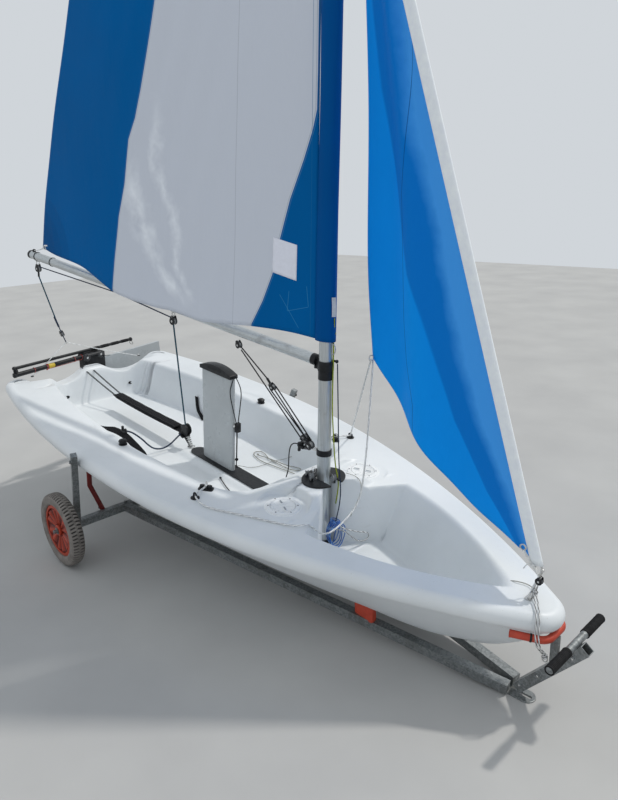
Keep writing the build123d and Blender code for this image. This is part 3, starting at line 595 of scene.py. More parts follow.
def rope(name, colour, fleck=None, share=0.35):
    """A braided line: strands that cross, with painted shade between them, and a fleck in some of them."""
    p = Paint(name, colour, 0.7)
    p.set("Specular IOR Level", 0.2)
    _, round_it, along = p.uv()
    u, v = p.times(round_it, 9.4), p.times(along, 700.0)
    p.mottle(p.noise(60, 3), shade(colour, 0.82), shade(colour, 1.15))
    if fleck:
        slow = p.math("SINE", p.math("ADD", p.times(v, 0.22), u))
        p.tint(p.span(slow, 1.0 - 2 * share, 1.0 - 2 * share + 0.2), fleck)
    braid = p.times(p.math("SINE", p.math("ADD", v, u)), p.math("SINE", p.minus(v, u)))
    # painted shade where the strands dip between each other
    p.tint(p.span(braid, -1.0, -0.5, 0.3, 0.0), shade(colour, 0.45))
    p.bump(braid, 0.0006, 0.7)
    return p.mat


ROPES = {
    "black": rope("rope_black", (0.01, 0.011, 0.014)),
    "navy": rope("rope_navy", (0.012, 0.02, 0.045), (0.03, 0.06, 0.12), 0.3),
    "teal": rope("rope_teal", (0.018, 0.1, 0.15), (0.01, 0.02, 0.03), 0.4),
    "white": rope("rope_white", (0.84, 0.85, 0.84), (0.12, 0.13, 0.15), 0.1),
    "plain": rope("rope_plain", (0.82, 0.83, 0.82)),
    "grey": rope("rope_grey", (0.26, 0.26, 0.24), (0.55, 0.55, 0.5), 0.4),
    "lime": rope("rope_lime", (0.42, 0.5, 0.03), (0.12, 0.16, 0.02), 0.3),
    "blue": rope("rope_blue", (0.02, 0.1, 0.42), (0.25, 0.45, 0.75), 0.22),
    "mixed": rope("rope_mixed", (0.8, 0.81, 0.81), (0.012, 0.013, 0.018), 0.34),
    "red": rope("rope_red", (0.42, 0.03, 0.03), (0.6, 0.3, 0.28), 0.25),
}


def steps(*points, count=24):
    """Straight runs through points, cut into even steps."""
    line = []
    for a, b in zip(points, points[1:]):
        line += [Vector(a).lerp(Vector(b), t) for t in np.linspace(0, 1, count, endpoint=False)]
    return line + [Vector(points[-1])]


def arch(a, b, drop, count=16):
    """A line between two points that hangs this far below them."""
    a, b = Vector(a), Vector(b)
    return [a.lerp(b, t) - Vector((0, 0, 4 * drop * t * (1 - t))) for t in np.linspace(0, 1, count)]


def in_hull(matrix, point):
    return HULL.inverted() @ matrix @ Vector(point)


# Hull

LENGTH, HALF_STERN, HALF_BEAM, BEAM_AT, BOW_STARTS = 3.5, 0.58, 0.714, 1.2, 1.6
NOSE_RADIUS, CORNER_RADIUS = 0.105, 0.09
DECK, ROLL_ROUND, UNDERCUT = 0.4, 0.04, 0.045
TUCK = 0.0084  # how far the bottom's end and its sides keep inside the deck's edge
SEAT = 0.3995  # the fittings' feet: a little under the deck, so that they meet it


def outline(step=0.012):
    """Points round the deck's edge on the port side, from the transom's middle to the nose's tip."""
    aft_radius = (BEAM_AT ** 2 + (HALF_BEAM - HALF_STERN) ** 2) / (2 * (HALF_BEAM - HALF_STERN))
    angle = math.asin((BOW_STARTS - BEAM_AT) / aft_radius)
    normal = Vector((sin(angle), cos(angle)))
    joint = Vector((BEAM_AT, HALF_BEAM - aft_radius)) + normal * aft_radius
    nose = Vector((LENGTH - NOSE_RADIUS, 0))
    reach = nose - joint
    bow_radius = (reach.length ** 2 - NOSE_RADIUS ** 2) / (-2 * (normal.dot(reach) + NOSE_RADIUS))
    centre = joint - normal * bow_radius
    aft_centre = Vector((BEAM_AT, HALF_BEAM - aft_radius))
    corner_y = aft_centre.y + math.sqrt((aft_radius - CORNER_RADIUS) ** 2 - (BEAM_AT - CORNER_RADIUS) ** 2)
    corner = Vector((CORNER_RADIUS, corner_y))
    runs = []

    def arc(middle, radius, start, end):
        count = max(6, int(abs(end - start) * radius / step))
        angles = np.linspace(start, end, count)
        runs.append(np.stack([middle.x + radius * np.cos(angles), middle.y + radius * np.sin(angles),
                              np.cos(angles), np.sin(angles)], axis=1))

    count = int(corner.y / step)
    y = np.linspace(0, corner.y, count)
    runs.append(np.stack([y * 0, y, y * 0 - 1, y * 0], axis=1))
    leave = math.atan2(corner.y - aft_centre.y, corner.x - aft_centre.x)
    arc(corner, CORNER_RADIUS, pi, leave)
    arc(aft_centre, aft_radius, leave, pi / 2 - angle)
    touch = math.atan2(nose.y - centre.y, nose.x - centre.x)
    arc(centre, bow_radius, pi / 2 - angle, touch)
    arc(nose, NOSE_RADIUS, touch, 0.0)
    points = np.concatenate(runs)
    keep = [0] + [i for i in range(1, len(points)) if np.hypot(*(points[i, :2] - points[i - 1, :2])) > 1e-5]
    return points[keep]


EDGE = outline()


def inset_width(inset, x):
    """Half the width at a station of the deck's edge moved in by an inset."""
    moved = EDGE[:, :2] - EDGE[:, 2:] * inset
    side = moved[EDGE[:, 3] > 1e-6]
    order = np.argsort(side[:, 0])
    return np.interp(x, side[order, 0], side[order, 1], right=0.0)


def soft_min(a, b, k):
    """The lesser of two heights, with a fillet of about this size where they meet."""
    h = np.clip(0.5 + 0.5 * (b - a) / k, 0, 1)
    return b + (a - b) * h - k * h * (1 - h)


def soft_max(a, b, k):
    return -soft_min(-a, -b, k)


def smooth(value, start, end):
    t = np.clip((value - start) / (end - start), 0, 1)
    return t * t * (3 - 2 * t)


def lip_height(y):
    """The transom's lip: two round dips beside a middle hump."""
    away = np.abs(np.abs(y) - 0.265)
    dip = 0.622 - np.sqrt(np.maximum(0.09 - away ** 2, 0.0))
    dip = np.where(away < 0.3, dip, 0.7)
    return soft_min(np.full_like(dip, DECK), dip, 0.03)


def circle_through(a, b, c):
    """Centre and radius of the circle through three points."""
    a, b, c = (np.array(p) for p in (a, b, c))
    centre = np.linalg.solve(2 * np.array([b - a, c - a]), np.array([b @ b - a @ a, c @ c - a @ a]))
    return centre, np.linalg.norm(a - centre)


HATCH_X, HATCH_Y, HATCH_FLAT = 2.322, 0.264, 0.118
ROWLOCK_X = 1.307
CASE_TOP, WELL_FLOOR = 0.21, 0.11
WELL_AFT, WELL_FORE = 2.45, 3.285
WELL_CENTRE, WELL_RADIUS = circle_through((2.54, 0.325), (3.0, 0.18), (WELL_FORE, 0.0))
# Degrees from upright of the walls round the cockpit and at the well's sides, aft end and fore end
COCKPIT_LEAN, SIDE_LEAN, AFT_LEAN, FORE_LEAN = 14, 20, 5, 39


def slope(edge, degrees):
    """Height of a wall that leans this far from upright, by the distance outside its top edge."""
    return DECK + edge / math.tan(math.radians(degrees))


def deck_height(x, y):
    """Height of the deck, cockpit, thwart and well over a point, in the hull frame."""
    y = np.abs(y)
    # slopes of the thwart up to the mast's collar, and the round flats for the hatches
    rise = np.minimum(np.minimum((x - 2.115) / 0.1, (2.445 - x) / 0.04), (0.42 - y) / 0.302)
    top = soft_max(np.full_like(x, DECK), 0.388 + 0.058 * np.clip(rise, -1, 1), 0.012)
    flat = 1 - smooth(np.hypot(x - HATCH_X, y - HATCH_Y), HATCH_FLAT - 0.005, HATCH_FLAT + 0.004)
    top = top * (1 - flat) + DECK * flat
    # half-round flats beside the rowlock plugs
    leaf = np.hypot((x - ROWLOCK_X) / 0.24, (y - 0.468) / 0.062)
    top = top - 0.006 * (1 - smooth(leaf, 0.8, 1.1))
    # cockpit
    side = inset_width(0.275, x)
    edge = soft_max(soft_max(y - side, 0.095 - x, 0.12), x - 2.11, 0.16)
    floor = 0.1695 + 0.012 * x
    far = soft_max(np.abs(x - 1.6) - 0.38, y - 0.065, 0.03)
    floor = floor + (CASE_TOP - floor) * (1 - smooth(far, -0.012, 0.03))
    wall = soft_max(floor, slope(edge, COCKPIT_LEAN), 0.075)
    cockpit = soft_min(top, wall, 0.075)
    # front well
    side = slope(np.hypot(x - WELL_CENTRE[0], y - WELL_CENTRE[1]) - WELL_RADIUS, SIDE_LEAN)
    back = slope(WELL_AFT + np.clip((y - 0.17) * 0.58, 0, 0.09) - x, AFT_LEAN)
    front = slope(x - WELL_FORE, FORE_LEAN)
    wall = soft_max(soft_max(side, front, 0.05), back, 0.05)
    height = soft_min(cockpit, soft_max(np.full_like(x, WELL_FLOOR), wall, 0.06), 0.04)
    # slot for the mast
    edge = soft_max(y - 0.052 - 1.3 * np.maximum(x - 2.362, 0), 2.272 - x, 0.02)
    slot = soft_max(np.full_like(x, WELL_FLOOR), 0.45 + edge * 30, 0.01)
    slot = np.where(x > 2.52, 1.0, slot)
    height = soft_min(height, slot, 0.012)
    # transom lip
    lip = lip_height(y) + smooth(x, 0.1, 0.22) * 0.3
    return np.minimum(height, soft_min(height, lip, 0.02))


def spread(weights, count):
    """Evenly weighted places along a line sampled with these weights."""
    total = np.concatenate([[0], np.cumsum(0.5 * (weights[1:] + weights[:-1]))])
    return np.interp(np.linspace(0, total[-1], count), total, np.arange(len(weights)))


def deck_grid(stations=330, across=76):
    """Rows of points over everything inside the gunwale, closer together where it is steep."""
    xs = np.linspace(0.04, LENGTH - 0.0402, 1600)
    steep = np.zeros_like(xs)
    for y in (0.1, 0.2, 0.27, 0.33):
        steep = np.maximum(steep, np.abs(np.gradient(deck_height(xs, np.full_like(xs, y)), xs)))
    dense = 1 + 3 * smooth(xs, 3.38, 3.46) + 1.5 * ((xs > 2.19) & (xs < 2.56))
    xs = np.interp(spread(np.sqrt(1 + np.minimum(steep, 4) ** 2) * dense, stations), np.arange(1600), xs)
    widths = inset_width(ROLL_ROUND, xs)
    widths[0] = inset_width(ROLL_ROUND, np.array([0.0401]))[0]
    rows = []
    for x, width in zip(xs, widths):
        y = np.linspace(0, max(width, 1e-4), 500)
        z = deck_height(np.full_like(y, x), y)
        length = np.hypot(np.gradient(y), np.gradient(z))
        index = spread(length + 0.35 * np.gradient(y), across)
        y = np.interp(index, np.arange(500), y)
        z = deck_height(np.full_like(y, x), y)
        half = np.stack([np.full_like(y, x), y, z], axis=1)
        rows.append(np.concatenate([half[:0:-1] * (1, -1, 1), half]))
    return np.array(rows)


def roll_grid():
    """The fat rounded gunwale, swept round the deck's edge."""
    straight = 0.999  # an edge whose normal points this much fore or aft is the transom's
    loop = np.concatenate([EDGE, EDGE[-2:0:-1] * (1, -1, 1, -1)])
    angles = np.radians(np.linspace(90, -90, 17))
    profile = [(0.052, 0.3985)] + [(ROLL_ROUND - ROLL_ROUND * cos(a), 0.358 + 0.042 * sin(a)) for a in angles]
    profile += [(0.06, 0.32)]
    lip = np.where(np.abs(loop[:, 2]) > straight, lip_height(loop[:, 1]), DECK)
    corner = (loop[:, 0] < CORNER_RADIUS) & (np.abs(loop[:, 2]) <= straight)
    lip[corner] = lip_height(np.full(corner.sum(), EDGE[EDGE[:, 2] < -straight][-1, 1]))
    base = 0.27
    share = (lip - base) / (DECK - base)
    rows = []
    for inset, z in profile:
        height = np.where(z > base, base + (z - base) * share, z)
        rows.append(np.stack([loop[:, 0] - loop[:, 2] * inset, loop[:, 1] - loop[:, 3] * inset, height], axis=1))
    return np.array(rows)


# Sections of the bottom: x from the transom, the keel's height, and the y and height of the bilge
STATIONS = np.array([
    (0.0, 0.07, 0.4, 0.1), (0.7, 0.012, 0.43, 0.062), (1.5, 0.0, 0.41, 0.055), (2.2, 0.0, 0.29, 0.048),
    (2.7, 0.006, 0.17, 0.05), (3.08, 0.032, 0.075, 0.08), (3.3, 0.14, 0.03, 0.175), (3.41, 0.24, 0.014, 0.262),
    (3.47, 0.318, 0.008, 0.325)])


def through(x, column):
    """A smooth curve through a column of the stations."""
    xs, ys = STATIONS[:, 0], STATIONS[:, column]
    slope = np.gradient(ys, xs)
    i = np.clip(np.searchsorted(xs, x) - 1, 0, len(xs) - 2)
    span = xs[i + 1] - xs[i]
    t = (x - xs[i]) / span
    return ((2 * t ** 3 - 3 * t ** 2 + 1) * ys[i] + (t ** 3 - 2 * t ** 2 + t) * span * slope[i]
            + (3 * t ** 2 - 2 * t ** 3) * ys[i + 1] + (t ** 3 - t ** 2) * span * slope[i + 1])


def lower_grid(stations=90):
    """The bottom, the bilges and the topsides up to the gunwale's undercut, with a closed transom."""
    xs = np.concatenate([[TUCK, TUCK, TUCK, 0.012, 0.02, 0.035, 0.055], np.linspace(0.09, 3.47, stations)])
    rows = []
    for k, x in enumerate(xs):
        side = max(min(inset_width(UNDERCUT, x), inset_width(TUCK, x)), 0.002)
        if k < 2:
            side *= (0.01, 0.6)[k]
        keel, bilge_y, bilge_z = (through(x, c) for c in (1, 2, 3))
        bilge_y = min(bilge_y, side * 0.92)
        a, b, c = np.array([0, keel]), np.array([bilge_y, bilge_z]), np.array([side, 0.345])
        p, q = b + (a - b) * 0.25, b + (c - b) * 0.25
        t = np.linspace(0, 1, 9)[:, None]
        bend = (1 - t) ** 2 * p + 2 * t * (1 - t) * b + t ** 2 * q
        low = a + (p - a) * np.linspace(0, 1, 7)[:-1, None]
        high = q + (c - q) * np.linspace(0, 1, 8)[1:, None]
        half = np.concatenate([low, bend, high])
        if k < 2:
            half[:, 1] = 0.07 + (half[:, 1] - 0.07) * (0.6, 0.9)[k]
        row = np.stack([np.full(len(half), x), half[:, 0], half[:, 1]], axis=1)
        rows.append(np.concatenate([row[:0:-1] * (1, -1, 1), row]))
    return np.array(rows)


def build_hull():
    points, faces = [], []
    for grid, wrap, flip in ((deck_grid(), False, False), (roll_grid(), True, True), (lower_grid(), False, True)):
        start = len(points)
        new = grid_faces(grid.shape[0], grid.shape[1], start, wrap)
        faces += [f[::-1] for f in new] if flip else new
        points += [place(HULL, p) for p in grid.reshape(-1, 3)]
    hull = make_piece("hull_skin", points, faces, MATERIALS["hull_white"])
    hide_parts("hull")


build_hull()


# Sails

class Cloth(Paint):
    """Woven sailcloth painted by its own coordinates: s aft of the luff and z up, in metres."""

    def __init__(self, name, colour):
        super().__init__(name, colour, 0.55)
        self.spot, self.s, self.z = self.uv()
        self.cloud = self.noise(1.3, 3, 0.6, at=self.spot)
        self.mottle(self.cloud, shade(colour, 0.94), shade(colour, 1.06))
        self.set("Specular IOR Level", 0.03)

    def beside(self, curve):
        """How far a place lies aft of a line given as (s, z) points that run up the sail."""
        edge = None
        for (s0, z0), (s1, z1) in zip(curve, curve[1:]):
            part = self.span(self.z, z0, z1, 0.0 if edge else s0, s1 - s0 if edge else s1)
            edge = self.math("ADD", edge, part) if edge else part
        return self.minus(self.s, edge)

    def line(self, distance, at, half, colour, share):
        """A thin line at a distance from an edge."""
        off = self.size(self.minus(distance, at))
        self.tint(self.span(off, half, half * 0.6, 0, share), colour)

    def finish(self, creases, turned):
        """The weave, the creases and the gloss that all the cloths have."""
        waves = []
        for direction in ("X", "Y"):
            wave = self.node("ShaderNodeTexWave", Scale=190.0, Distortion=0.4)
            wave.bands_direction = direction
            self.join(self.spot, wave.inputs["Vector"])
            waves.append(wave.outputs["Fac"])
        self.bump(self.math("ADD", *waves), 0.0002, 0.5)
        stretched = self.mapped(self.spot, Scale=(6.0, 1.1, 1.0), Rotation=(0, 0, turned))
        self.bump(self.noise(1.0, 5, 0.6, at=stretched), creases, 0.5)
        self.roughen(self.cloud, 0.5, 0.62)
        return self.mat


def mainsail_material():
    """Blue cloth with a broad white panel that narrows to the head, seams and a leech corner in layers."""
    p = Cloth("mainsail_cloth", (0.0, 0.118, 0.37))
    fore, aft = p.beside(PANEL_FORE), p.times(p.beside(PANEL_AFT), -1.0)
    inside = p.math("MINIMUM", fore, aft)
    p.tint(p.span(inside, 0.0, 0.0025), (0.655, 0.695, 0.775))
    for edge in (fore, aft):
        p.line(edge, 0.007, 0.0022, (0.3, 0.36, 0.45), 0.5)
        p.line(edge, -0.006, 0.0018, (0.1, 0.25, 0.45), 0.6)
    # two seams, the worn patches, and four short lines at the tack
    seam = p.minus(p.s, 0.56)
    p.line(p.math("ADD", seam, p.times(p.z, 0.055)), 0.0, 0.0022, (0.43, 0.46, 0.52), 0.55)
    p.line(p.beside(((0.05, 0.9), (0.05, 5.3))), 0.03, 0.0015, (0.02, 0.16, 0.36), 0.6)
    wobble = p.times(p.minus(p.noise(3.2, 4, 0.6, at=p.spot), 0.5), 0.34)
    broken = p.span(p.noise(6.0, 3, 0.6, at=p.spot), 0.36, 0.62)
    for curve, half, top in ((((0.7, 1.06), (0.86, 1.24), (0.93, 1.6), (0.97, 1.97)), 0.055, 2.02),
                             (((0.8, 1.05), (1.04, 1.22), (1.16, 1.45), (1.17, 1.8)), 0.1, 1.82)):
        off = p.size(p.math("ADD", p.beside(curve), wobble))
        fade = p.times(p.span(p.z, 1.02, 1.12), p.span(p.z, top, top - 0.25))
        share = p.times(p.span(off, half, 0.0), broken, fade)
        p.tint(p.times(share, p.span(inside, 0.0, 0.01)), (0.9, 0.94, 1.0))
        p.bump(share, 0.004, 0.6)
    for s0, z0, s1, z1 in ((0.09, 1.13, 0.2, 1.1), (0.09, 1.13, 0.1, 1.22), (0.2, 1.1, 0.19, 1.19),
                           (0.14, 1.03, 0.24, 1.17)):
        length = math.hypot(s1 - s0, z1 - z0)
        run, rise = (s1 - s0) / length, (z1 - z0) / length
        ds, dz = p.minus(p.s, s0), p.minus(p.z, z0)
        along = p.math("ADD", p.times(ds, run), p.times(dz, rise))
        across = p.minus(p.times(ds, rise), p.times(dz, run))
        beyond = p.span(p.size(p.minus(along, length / 2)), length / 2, length / 2 - 0.002)
        p.tint(p.times(p.span(p.size(across), 0.002, 0.0012), beyond, 0.5), (0.05, 0.28, 0.52))
    # the layers at the leech corner, which are arcs round it
    corner = p.node("ShaderNodeCombineXYZ")
    p.join(p.minus(p.s, -CLEW[0]), corner.inputs["X"])
    p.join(p.minus(p.z, CLEW[1]), corner.inputs["Y"])
    reach = p.node("ShaderNodeVectorMath")
    reach.operation = "LENGTH"
    p.join(corner.outputs[0], reach.inputs[0])
    for radius in (0.16, 0.24, 0.33):
        p.tint(p.span(reach.outputs["Value"], radius, radius - 0.004, 0, 0.16), (0.0, 0.045, 0.17))
    return p.finish(0.012, 0.42)


def jib_material():
    """Bright blue cloth: one light layer, with a band of painted shade along a fold, a painted lighter band towards
    the luff, and a fine upright seam.
    """
    p = Cloth("jib_cloth", (0.005, 0.32, 0.98))
    # the edges of a band of painted shade, and the line forward of which the cloth has painted light
    shade_band_edge = p.beside(((-3.268, 0.546), (-3.096, 0.685), (-2.903, 0.913), (-2.795, 1.119), (-2.713, 1.287),
                     (-2.627, 1.439), (-2.575, 1.593), (-2.531, 1.73), (-2.463, 1.917), (-2.407, 2.101), (-2.3, 2.7)))
    front = p.beside(((-3.31, 0.554), (-3.178, 0.727), (-3.005, 0.953), (-2.902, 1.151), (-2.814, 1.376),
                      (-2.721, 1.634), (-2.615, 1.863), (-2.561, 1.991), (-2.5, 2.3), (-2.42, 2.7)))
    wobble = p.times(p.minus(p.noise(9.0, 3, 0.6, at=p.spot), 0.5), 0.06)
    # painted shade between the two lines, and painted light forward of the second
    p.tint(p.span(shade_band_edge, 0.007, -0.006), (0.004, 0.205, 0.7))
    p.tint(p.span(p.math("ADD", front, wobble), 0.02, -0.05), (0.07, 0.39, 0.97))
    p.line(p.beside(((-2.697, 0.909), (-2.647, 1.079), (-2.618, 1.25), (-2.599, 1.416), (-2.564, 1.733),
                     (-2.571, 1.862), (-2.6, 2.6))), 0.0, 0.0022, (0.0, 0.04, 0.18), 0.6)
    return p.finish(0.016, 0.1)


def curve_points(points, count):
    """A smooth run of points through a few, evenly spaced along it, by a centripetal spline."""
    points = np.array(points, float)
    ends = np.concatenate([[2 * points[0] - points[1]], points, [2 * points[-1] - points[-2]]])
    fine = []
    for i in range(1, len(ends) - 2):
        a, b, c, d = ends[i - 1:i + 3]
        knots = [0.0]
        for m, n in ((a, b), (b, c), (c, d)):
            knots.append(knots[-1] + max(np.linalg.norm(n - m), 1e-9) ** 0.5)
        t = np.linspace(knots[1], knots[2], 24, endpoint=i == len(ends) - 3)[:, None]

        def blend(m, n, k0, k1):
            return (k1 - t) / (k1 - k0) * m + (t - k0) / (k1 - k0) * n

        ab, bc, cd = blend(a, b, *knots[0:2]), blend(b, c, *knots[1:3]), blend(c, d, *knots[2:4])
        left, right = blend(ab, bc, knots[0], knots[2]), blend(bc, cd, knots[1], knots[3])
        fine.append(blend(left, right, knots[1], knots[2]))
    fine = np.concatenate(fine)
    along = np.concatenate([[0], np.cumsum(np.linalg.norm(np.diff(fine, axis=0), axis=1))])
    places = np.linspace(0, along[-1], count)
    return np.stack([np.interp(places, along, fine[:, k]) for k in range(fine.shape[1])], axis=1)


def coons(foot, head, luff, leech):
    """Points over a patch between four edges: foot and head run across, luff and leech run up."""
    u = np.linspace(0, 1, len(foot))[None, :, None]
    t = np.linspace(0, 1, len(luff))[:, None, None]
    flat = (1 - t) * foot[None] + t * head[None] + (1 - u) * luff[:, None] + u * leech[:, None]
    corners = (1 - u) * (1 - t) * foot[0] + u * (1 - t) * foot[-1] + (1 - u) * t * head[0] + u * t * head[-1]
    return flat - corners


def cloth_piece(name, grid, matrix, material, body, thickness=0.0012):
    """A cloth over a grid of points, with texture coordinates s aft and z up."""
    flat = grid.reshape(-1, 3)
    points, uvs = [place(matrix, p) for p in flat], [(-p[0], p[2]) for p in flat]
    piece = make_piece(name, points, grid_faces(*grid.shape[:2]), material, body, uvs=uvs)
    thicken(piece, thickness, 0)
    return piece


BELLY, CHORD, HEAD_Z = 0.075, 2.3, 5.29
STAY_RING, HALF_WINDOW = 3.08, 0.056
TACK = (-0.048, 0.996)
CLEW = (-2.165, 1.212)
HEAD = (-0.12, HEAD_Z)
# Points on the foot and the leech, metres aft of the mast and up it
FOOT = (TACK, (-0.18, 1.006), (-0.385, 1.005), (-0.55, 0.995), (-0.725, 0.985), (-0.9, 1.0), (-1.09, 1.005),
        (-1.3, 1.029), (-1.4, 1.048), (-1.535, 1.093), (-1.704, 1.146), (-2.02, 1.186), CLEW)
LEECH = (CLEW, (-2.06, 1.496), (-1.926, 1.769), (-1.772, 2.075), (-1.235, 3.1), (-0.655, 4.25), HEAD)
# The white panel's edges towards the mast and towards the leech
PANEL_FORE = ((0.3965, 1.014), (0.331, 1.129), (0.275, 1.255), (0.231, 1.417), (0.182, 1.574), (0.118, 1.727),
              (0.077, 1.839), (0.058, 1.914), (0.056, 2.05))
PANEL_AFT = ((1.397, 1.065), (1.353, 1.24), (1.296, 1.449), (1.223, 1.612), (1.16, 1.816), (1.099, 1.908),
             (1.048, 2.027), (0.02, 4.75))


def sail_y(s, z):
    """How far the mainsail stands out to port, by the distance aft of the mast and up it."""
    q = np.clip(s / CHORD, 0, 1)
    soft = 4 * q * (1 - q)
    ripple = 0.005 * np.sin(z * 2.1 + s * 5.3) + 0.003 * np.sin(z * 4.2 - s * 9.1 + 1.0)
    # long shallow creases that run down and aft from the mast, between the mast and the middle
    crease = 0.0028 * np.sin((s * 0.94 + z * 0.34) * 37 + 1.3 * np.sin(z * 3.1)) * np.exp(-((s - 0.75) / 0.42) ** 2)
    curl = 0.008 * np.sin(s * 8.0 + 0.6) * np.exp(-((z - 1.05) / 0.3) ** 2)
    return -BELLY * soft - 0.003 + (ripple + curl + crease) * soft


def mainsail():
    up, across = 190, 130
    luff = np.stack([np.full(up, TACK[0]), np.linspace(TACK[1], HEAD_Z, up)], axis=1)
    top = curve_points([(TACK[0], HEAD_Z), HEAD], across)
    flat = coons(curve_points(FOOT, across), top, luff, curve_points(LEECH, up))
    s, z = -flat[..., 0], flat[..., 1]
    grid = np.stack([-s, sail_y(s, z), z], axis=-1)
    sail = cloth_piece("mainsail_cloth", grid, BOOM_PLANE, mainsail_material(), "rig")
    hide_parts("mainsail")
    patch = bare_patch()


def mainsail_sleeve():
    """The pocket over the mast: a flattened tube of the same cloth, painted darker as shade, open at the forestay's
    window.
    """
    # the mainsail's blue made darker: painted shade on the sleeve
    cloth = Cloth("sleeve_cloth_painted_shade", (0.0005, 0.083, 0.3)).finish(0.014, 0.1)
    angles, rows = np.array(ring_of(36)), 90
    for name, low, high in (("sleeve_low", 0.995, STAY_RING - HALF_WINDOW),
                            ("sleeve_high", STAY_RING + HALF_WINDOW, HEAD_Z)):
        points, uvs = [], []
        for z in np.linspace(low, high, rows):
            wave = 1 + 0.035 * np.sin(3 * angles + z * 3.1) + 0.02 * np.sin(5 * angles - z * 7.0)
            nose = 0.0475 + 0.004 * sin(z * 2.3)
            x = -0.004 + nose * np.cos(angles) * wave
            y = 0.0355 * np.sin(angles) * (1 + 0.25 * (wave - 1))
            points += [place(BOOM_PLANE, (*p, z)) for p in zip(x, y)]
            uvs += [(side * 1.3, z) for side in y]
        piece = make_piece(name, points, grid_faces(rows, len(angles), 0, True), cloth, "rig", uvs=uvs)
        thicken(piece, 0.0012, -1)


def bare_patch():
    """A plain square patch on the sail near the tack, on its starboard side."""
    patch = plain("patch_cloth", (0.84, 0.86, 0.95), 0.5, vary=0.03, speckle=60.0, shine=0.1)
    corners = np.array(((0.1506, 1.2366), (0.2756, 1.2636), (0.269, 1.414), (0.147, 1.389)))
    flat = np.linspace(np.linspace(corners[0], corners[1], 14), np.linspace(corners[3], corners[2], 14), 14)
    s, z = flat[..., 0], flat[..., 1]
    grid = np.stack([-s, sail_y(s, z) - 0.0016, z], axis=-1)
    piece = cloth_piece("bare_patch", grid, BOOM_PLANE, patch, "rig", thickness=0.0004)
    return piece


def jib():
    """The furling jib's cloth with its folds, and the white luff tape that goes round the stay."""
    up, across, around = 130, 60, 20
    foot_stay, top_stay = Vector((3.395, 0, 0.525)), in_hull(MAST, (0.0443, 0, STAY_RING))
    tack = foot_stay.lerp(top_stay, 0.008) - Vector((0.004, 0, 0))
    head = foot_stay.lerp(top_stay, 0.93) - Vector((0.004, 0, 0))
    clew = Vector((2.425, 0.15, 1.034))
    luff = np.array([tack.lerp(head, t) for t in np.linspace(0, 1, up)])
    leech = curve_points([clew, (2.372, 0.137, 1.41), (2.335, 0.105, 2.1), head + Vector((-0.02, 0.004, -0.01))], up)
    foot = curve_points([tack, (3.25, 0.028, 0.548), (3.05, 0.066, 0.585), (2.87, 0.094, 0.665), (2.68, 0.12, 0.79),
                         (2.52, 0.14, 0.935), clew], across)
    top = np.array([head.lerp(Vector(leech[-1]), t) for t in np.linspace(0, 1, across)])
    grid = coons(foot, top, luff, leech)
    u = np.linspace(0, 1, across)[None, :]
    t = np.linspace(0, 1, up)[:, None]
    soft = np.sin(pi * u) ** 0.8
    width = (1 - t) ** 0.8 + 0.08
    folds = 0.026 * np.sin(u * 9.5 - 0.6 + t * 1.2) + 0.01 * np.sin(u * 17 + t * 5.0)
    grid[..., 1] += (folds + 0.02) * soft * width + 0.006 * np.sin(t * 11 + u * 4) * soft
    piece = cloth_piece("jib_cloth", grid, HULL, jib_material(), "root")
    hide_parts("jib")
    white = plain("luff_cloth", (0.9, 0.94, 1.0), 0.5, vary=0.05, speckle=30.0, bump=0.0005, bump_scale=400.0)
    points = []
    for share in np.linspace(0.006, 0.935, 2 * across):
        centre = foot_stay.lerp(top_stay, share)
        for a in ring_of(around):
            along = cos(a)
            x = along * (0.0075 if along > 0 else 0.038)
            y = 0.0068 * sin(a) * (1.0 if along > -0.2 else max(0.25, 1 + along * 0.85))
            points.append(place(HULL, centre + Vector((x, y, x * 0.35))))
    uvs = [(k % around / around, k // around * 0.02) for k in range(len(points))]
    piece = make_piece("jib_luff", points, grid_faces(2 * across, around, 0, True), white, "root", uvs=uvs)
    thicken(piece, 0.0008, -1)


mainsail()
mainsail_sleeve()
jib()


# Mainsheet, vang and the lines at the mast

def boom_tackle():
    """The two sheet blocks under the boom and the line between them."""
    parts = Joined(BOOM)
    for s in (1.005, 2.29):
        pulley(parts, shift(-s, 0, -0.077), 0.02, 0.022)
        shackle(parts, shift(-s, 0, -0.031), 0.018, 0.0022)
        parts.box((0.034, 0.013, 0.005), STEEL, shift(-s, 0, -0.0265))
    for s in (2.12, 2.29):
        parts.add(hoop((-s, 0, 0), (0, 0.0262, 0), (0, 0, 0.0262), 0.0022, 6, 28), "black")
    parts.rod(steps((-2.275, 0, -0.062), (-1.5, 0, -0.04), (-1.02, 0, -0.062)), 0.0035, "navy")
    parts.rod([(-2.29, 0, -0.094), (-2.29, 0, -0.128)], 0.006, BLACK, 10)
    knob = [(0.01, -0.004), (0.011, 0.004), (0.008, 0.009), (0.004, 0.011)]
    parts.turned(knob, 16, BLACK, shift(-2.325, 0, 0.028))
    piece = parts.finish("boom_sheet_blocks", "rig", "black_plastic")
    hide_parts("sheet_blocks")
    outhaul = Joined(BOOM_PLANE)
    clew = Vector((CLEW[0] + 0.03, sail_y(-CLEW[0] - 0.03, CLEW[1]), CLEW[1] + 0.004))
    tip = BOOM_PLANE.inverted() @ BOOM @ Vector((-2.322, 0, 0.03))
    for off in (-0.004, 0.004):
        outhaul.rod(arch(clew + Vector((0, off, 0)), tip + Vector((0, off, 0)), 0.004), 0.002, "plain", 6)
    cringle = [(0.009, -0.003), (0.014, -0.003), (0.015, 0), (0.014, 0.003), (0.009, 0.003), (0.008, 0)]
    outhaul.add(lathe(cringle, 24, True), STEEL, shift(*clew) @ turn(90, "X"))
    strop = [clew + Vector((0.0, -0.004, 0.012)), clew + Vector((0.055, -0.003, 0.016))]
    outhaul.add(ribbon(strop, (0, 0, 0.004), 0.002), "plain")
    outhaul.finish("outhaul", "rig", "stainless")


